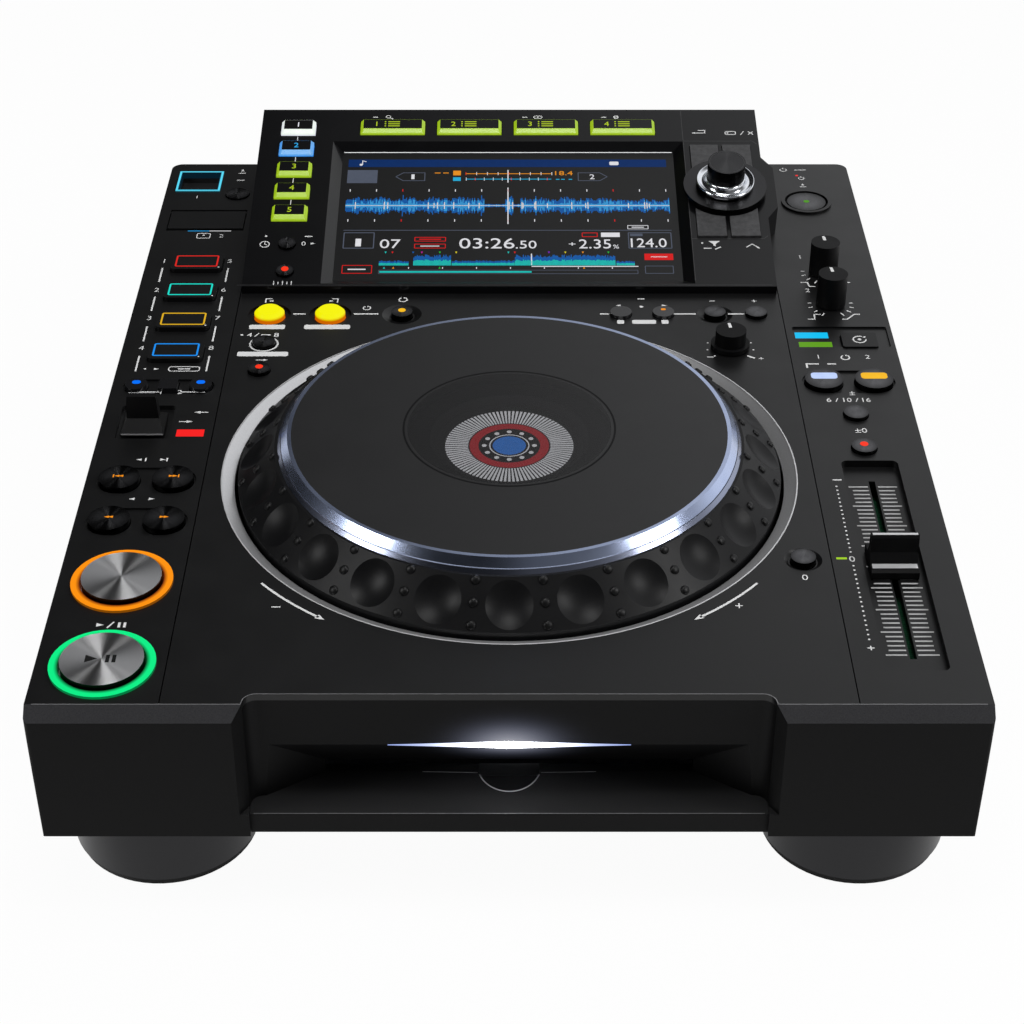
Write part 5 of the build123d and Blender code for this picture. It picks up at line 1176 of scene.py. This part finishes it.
# signs over the browse keys
slope_marks.draw(
    bar=[(x, 121.6, 2.4, 0.55) for x in (-62.4, 7.2, 44.1)],
    arc=[(-56.4, 122, 1, 0.4), (12.4, 121.7, 1, 0.4), (14.2, 121.7, 1, 0.4), (49.8, 121.7, 1, 0.5)],
    disc=[(49.8, 121.7, 0.35, 10)],
    line=[([(-55.6, 121.3), (-54.2, 120.1)], 0.5)],
)
# signs beside the keys round the selector
slope_marks.draw(
    line=[
        ([(86, 109.4), (90.6, 109.4), (90.6, 111.4), (87.4, 111.4)], 0.5),
        ([(107, 108), (108.6, 110.8)], 0.4), ([(110.6, 108.3), (112.8, 110.5)], 0.5),
        ([(112.8, 108.3), (110.6, 110.5)], 0.5), ([(90, 25), (92.6, 26.6)], 0.6),
        ([(103.8, 26.4), (106.4, 28.6), (108.8, 26.4)], 0.5),
    ],
    triangle=[(85.6, 109.4, 1.2, 180), (108.9, 26.2, 1.1, -45)],
    frame=[(102.4, 109.4, 5.2, 2.8, 0.45, 0.5)],
    disc=[(101, 109.4, 0.45, 10), (84.6, 29.3, 0.5, 10)],
    area=[([(87.4, 30.6), (92.4, 30.6), (90.4, 28.6), (90.4, 27), (89.4, 27.6), (89.4, 28.6)],)],
    bar=[(86.8, 25.7, 3.4, 0.55)],
)
# time mode and quantize, and the dashes between the source keys
slope_marks.draw(
    disc=[(-107, 34, 0.55, 10)],
    arc=[(-107.2, 28.4, 2, 0.45)],
    line=[([(-107.2, 29.8), (-107.2, 28.4), (-106.2, 28)], 0.4)],
    bar=[
        (-88.3, 33.8, 3.4, 0.55),
        *[(-101.4 + 1.9 * i, 2.2, 0.35, 1.5 if i % 2 else 2.6) for i in range(5)],
        *[(x, up + source_pitch / 2 + 0.3, 0.35, 3.6) for x, up in source_places[1:]],
    ],
    digits=[("0", -90.2, 28.9, 2.8)],
    triangle=[(-86.6, 28.9, 1.4)],
)
slope_marks.done()

# painted highlights: thin steps round the selector's field drawn as lighter lines, and the light that the
# screen's frame catches on its edges drawn as a glowing line
# painted highlights that edges catch: a grey one for the case's edges, a bright one for the notch, trim ring,
# fader and lever, and a dim one for the display's steps and the selector's top
edge_shine = grained("edge_shine", (0.16, 0.16, 0.165), 0.3, 900, 0.05, 0.2, specular=0.6)
painted_highlight_strip = grained("painted_highlight_strip", (0.62, 0.62, 0.63), 0.32, 1200, 0.05, 0.1, metallic=0.35)
dim_edge_highlight = grained("dim_edge_highlight", (0.035, 0.035, 0.036), 0.35, 900, 0.05, 0.2)
field_steps = (
    [(80.2, 4), (80.2, 126.5)],
    [(80.2, 103.2), (112, 103.2), (114, 101)],
    [(80.2, 32.4), (112, 32.4), (114, 34.4)],
    [(-117, 0.9), (113, 0.9)],
)
mark("display_steps", "case", slope_at(), dim_edge_highlight, 0.03, line=[(points, 0.3) for points in field_steps])
# a painted highlight: a line glowing along the glass's top edge, where it would catch the light
glint = glowing("glass_edge_highlight", (0.62, 0.63, 0.66), 0.8, (0.5, 0.5, 0.5))
mark("glass_edge_highlight", "case", slope_at(0, 0, SCREEN_LEVEL + 0.1), glint, bar=[(-0.6, 99.1, 151, 0.4)])


# ---------------------------------------------------------------- selector's polished dish
def dish_profile():
    """A bowl that sweeps from the stem down and up again to a thin lip."""
    stem, lip, lip_width, floor_height, steps = 8.35, 12.85, 0.35, 5.1, 12
    bowl = []
    for i in range(steps + 1):
        share = i / steps
        height = floor_height + 3.4 * (1 - share) ** 4 + 1.5 * share**3
        bowl.append((stem + (lip - lip_width - stem) * share, height))
    return bowl + [(lip, floor_height + 1.5), (lip, floor_height - 0.3), (stem, floor_height - 0.3)]


selector_centre = (96.8, 66.2)
chrome = Shader("chrome", Metallic=1, Roughness=0.17)
chrome.set("Base Color", chrome.speckle(200, (0.78, 0.80, 0.84), (0.86, 0.88, 0.92)))
dish = bmesh.new()
skin(dish, slope_at(*selector_centre), revolved(dish_profile(), 64), closed=True)
piece("selector_dish", "selector_knob", dish, chrome.material, smooth=True)
cap = slope_at(*selector_centre, 16)
# a painted highlight: a lighter ring round the edge of the knob's top
mark("selector_mark", "selector_knob", cap, dim_edge_highlight, arc=[(0, 0, 7.6, 0.25, 0, 360, 64)])

# ---------------------------------------------------------------- painted highlights: light that edges catch on the case
# the chamfer's upper edge and the rim of the mouth
bezel_back_y, mouth_back_y = front / MM + 5, front / MM + 10.0
edges = Marks("bezel_edges", "case", deck_at(), edge_shine, 0.03)
for side, start in ((-1, 90), (1, 0)):
    edges.line([(side * 157.6, bezel_back_y), (side * 88.6, bezel_back_y)], 0.3)
    edges.line([(side * 88.6, bezel_back_y), (side * 88.5, mouth_back_y - 4.2)], 0.3)
    edges.arc(side * 84, mouth_back_y - 4.2, 4.5, 0.3, start, 90, 8)
edges.bar(0, mouth_back_y + 0.3, 168, 0.3)
edges.done()
# painted highlights on the shelf's front edge and round its notch for a finger
shelf_front = deck - 46.2 * MM
shelf_plane = plane_at(0, front + 2.2 * MM, shelf_front, math.atan2(3.3, 17.8))
mark("shelf_edges", "case", shelf_plane, edge_shine, 0.03, bar=[(0, 0.25, 174, 0.22)])
funnel_plane = plane_at(0, front + 10 * MM, shelf_front + 1.44 * MM, math.atan2(2.16, 10))
mark(
    "notch_edge", "case", funnel_plane, painted_highlight_strip, 0.06,
    arc=[(0, 12.58, 10.95, 0.4, 200, 140, 24)],
    line=[([(side * 10.9, 9.6), (side * 30, 10)], 0.16) for side in (-1, 1)],
)

# dial: the dark gap round the window, and a painted highlight along the outer edge of the trim ring
window_top = dial_level(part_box("jog_window")[1].z)
mark("window_gap", "jog", window_top, black_rubber, arc=[(0, 0, 39.8, 0.75, 0, 360, 96)])
trim_low, trim_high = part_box("jog_trim_ring")
trim_radius = (trim_high.x - trim_low.x) / 2 / MM
trim_line = (0, 0, trim_radius - 0.25, 0.45, 0, 360, 160)
mark("trim_edge", "case", dial_level(trim_high.z), painted_highlight_strip, arc=[trim_line])

# painted highlights: bright strips on the fader and the lever
strip = Marks("fader_strips", "tempo_fader", deck_at(), painted_highlight_strip)
for y, depth, height in ((-0.1, 1.2, (fader_high.z - deck) / MM), (-5.9, 2.6, 1)):
    strip.plane = deck_at(fader_x, fader_y, height)
    strip.bar(0, y, 16.2, depth)
strip.done()
lever = middle("direction_lever")
strip = Marks("lever_strips", "direction_lever", top_of("direction_lever"), painted_highlight_strip)
strip.bar(0, 1.3, 10.4, 0.35)
strip.plane = plane_at(lever.x, lever.y - 7.75 * MM, deck, math.pi / 2)
strip.bar(0, 0.55, 16.4, 0.6)
strip.done()

# painted light: the line of light from under the card's door, drawn glowing on the deck
mark("door_light", "case", deck_at(), lit_cyan, bar=[(-140.3, 130.2, 9.6, 0.35)])
mark("door_light_end", "case", deck_at(), lit_white, bar=[(-130.5, 130.2, 9.8, 0.35)])


# ---------------------------------------------------------------- rear: screws and plain signs
def rear_at(x, height):
    """The plane of the rear panel as seen from behind, in millimetres about a point of it."""
    turn = Matrix.Rotation(math.pi, 4, "Z") @ Matrix.Rotation(math.pi / 2, 4, "X")
    return Matrix.Translation((x * MM, rear, height * MM)) @ turn @ Matrix.Scale(MM, 4)


def screws(name, places):
    """Countersunk screws with a cross recess, flush with their plate."""
    head_radius, head_depth, recess, arm_reach, arm_half = 2.6, 0.25, 0.9, 1.5, 0.32
    cross = []
    for arm in range(4):
        cos, sin = math.cos(math.pi / 2 * arm), math.sin(math.pi / 2 * arm)
        for x, y in ((arm_reach, -arm_half), (arm_reach, arm_half), (arm_half, arm_half)):
            cross.append((x * cos - y * sin, x * sin + y * cos))
    rim = [(head_radius * x / math.hypot(x, y), head_radius * y / math.hypot(x, y)) for x, y in cross]
    mesh = bmesh.new()
    for plane in places:
        skin(mesh, plane, ((cross, -recess), (cross, 0), (rim, 0), (rim, -head_depth)))
    return piece(name, "case", mesh, bare_steel)


panel_low, panel_high = (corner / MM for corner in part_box("rear_panel"))
screw_across = (7 - panel_high.x, -panel_high.x / 3, panel_high.x / 3, panel_high.x - 7)
screws("rear_screws", [rear_at(x, z) for x in screw_across for z in (panel_low.z + 5, panel_high.z - 5)])
socket_centres = (("1", -24), ("2", -40), ("3", -60))
mark(
    "rear_marks", "case", rear_at(0, panel_low.z + 27), ink_white,
    arc=[(x, 0, 6.2, 0.35) for number, x in socket_centres],
    digits=[(number, x, 9.4, 2.6) for number, x in socket_centres],
    line=[
        ([(-18, -8.6), (-18, -9.8), (-46, -9.8), (-46, -8.6)], 0.35), ([(31.4, 11.6), (36.6, 11.6)], 0.3),
    ],
    frame=[
        (6, 0, 14.4, 13.4, 0.35, 0.8), (34, 0, 17.6, 13.6, 0.35, 0.8),
        *[(x, 10.2, 1.8, 1.6, 0.3) for x in (31.4, 34, 36.6)],
    ],
    triangle=[(6, 10, 1.3, 90)],
)

# ---------------------------------------------------------------- floor and light
floor_half = 4.0
floor_mesh = bpy.data.meshes.new("floor")
floor_mesh.from_pydata([(x * floor_half, y * floor_half, 0) for x, y in CORNERS], [], [(0, 1, 2, 3)])
floor = bpy.data.objects.new("floor", floor_mesh)
bpy.context.scene.collection.objects.link(floor)


def floor_white():
    """A pale floor that keeps the shadow and, to the camera and in reflections, comes up to white."""
    shader = Shader("floor_white", Base_Color=(0.86, 0.86, 0.86), Roughness=0.9, Specular_IOR_Level=0)
    path = shader.node("LightPath").outputs
    seen = shader.math("ADD", path["Is Camera Ray"], path["Is Glossy Ray"])
    seen = shader.math("ADD", seen, path["Is Transmission Ray"], clamp=True)
    white = shader.node("Emission", {"Color": (1, 1, 1), "Strength": 1})
    whiteness = 0.96
    share = shader.math("MULTIPLY", seen, whiteness)
    both = shader.node("MixShader", {0: share, 1: shader.principled.outputs[0], 2: white.outputs[0]})
    shader.wire(both.outputs[0], shader.tree.nodes["Material Output"].inputs["Surface"])
    return shader.material


floor_mesh.materials.append(floor_white())

world = bpy.data.worlds.new("studio")
bpy.context.scene.world = world
world.use_nodes = True


def studio_walls():
    """White to the camera, and to all else a dim room whose bright end is behind the player's right."""
    walls = Nodes(world.node_tree)
    towards = walls.node("SeparateXYZ", {0: walls.node("TexCoord").outputs["Generated"]}).outputs
    shares = [
        walls.range(towards[axis], low, high, dim, full, interpolation_type="SMOOTHSTEP")
        for axis, low, high, dim, full in (("X", -0.15, 0.22, 0.012, 0.95), ("Y", -0.05, 0.45, 0.12, 1))
    ]
    room = walls.math("MULTIPLY", *shares)
    background = walls.tree.nodes["Background"].inputs
    seen = walls.node("LightPath").outputs["Is Camera Ray"]
    walls.wire(walls.math("MAXIMUM", seen, room), background["Strength"])
    walls.wire((0.97, 0.98, 1), background["Color"])


studio_walls()


def lamp(name, place, target, size, power):
    """A soft rectangular studio lamp that faces a point and isn't seen itself."""
    data = bpy.data.lights.new(name, "AREA")
    data.shape = "RECTANGLE"
    data.size, data.size_y = size
    data.energy = power
    made = bpy.data.objects.new(name, data)
    made.location = place
    made.rotation_euler = (Vector(target) - Vector(place)).to_track_quat("-Z", "Y").to_euler()
    made.visible_camera = False
    bpy.context.scene.collection.objects.link(made)


lamp("overhead", (0, -0.15, 1.5), (0, 0, 0.1), (0.5, 0.5), 8)
lamp("left", (-1, -0.4, 0.8), (0, -0.05, 0.08), (0.35, 0.5), 5)
lamp("right", (1, -0.35, 0.8), (0, -0.05, 0.08), (0.35, 0.5), 6)
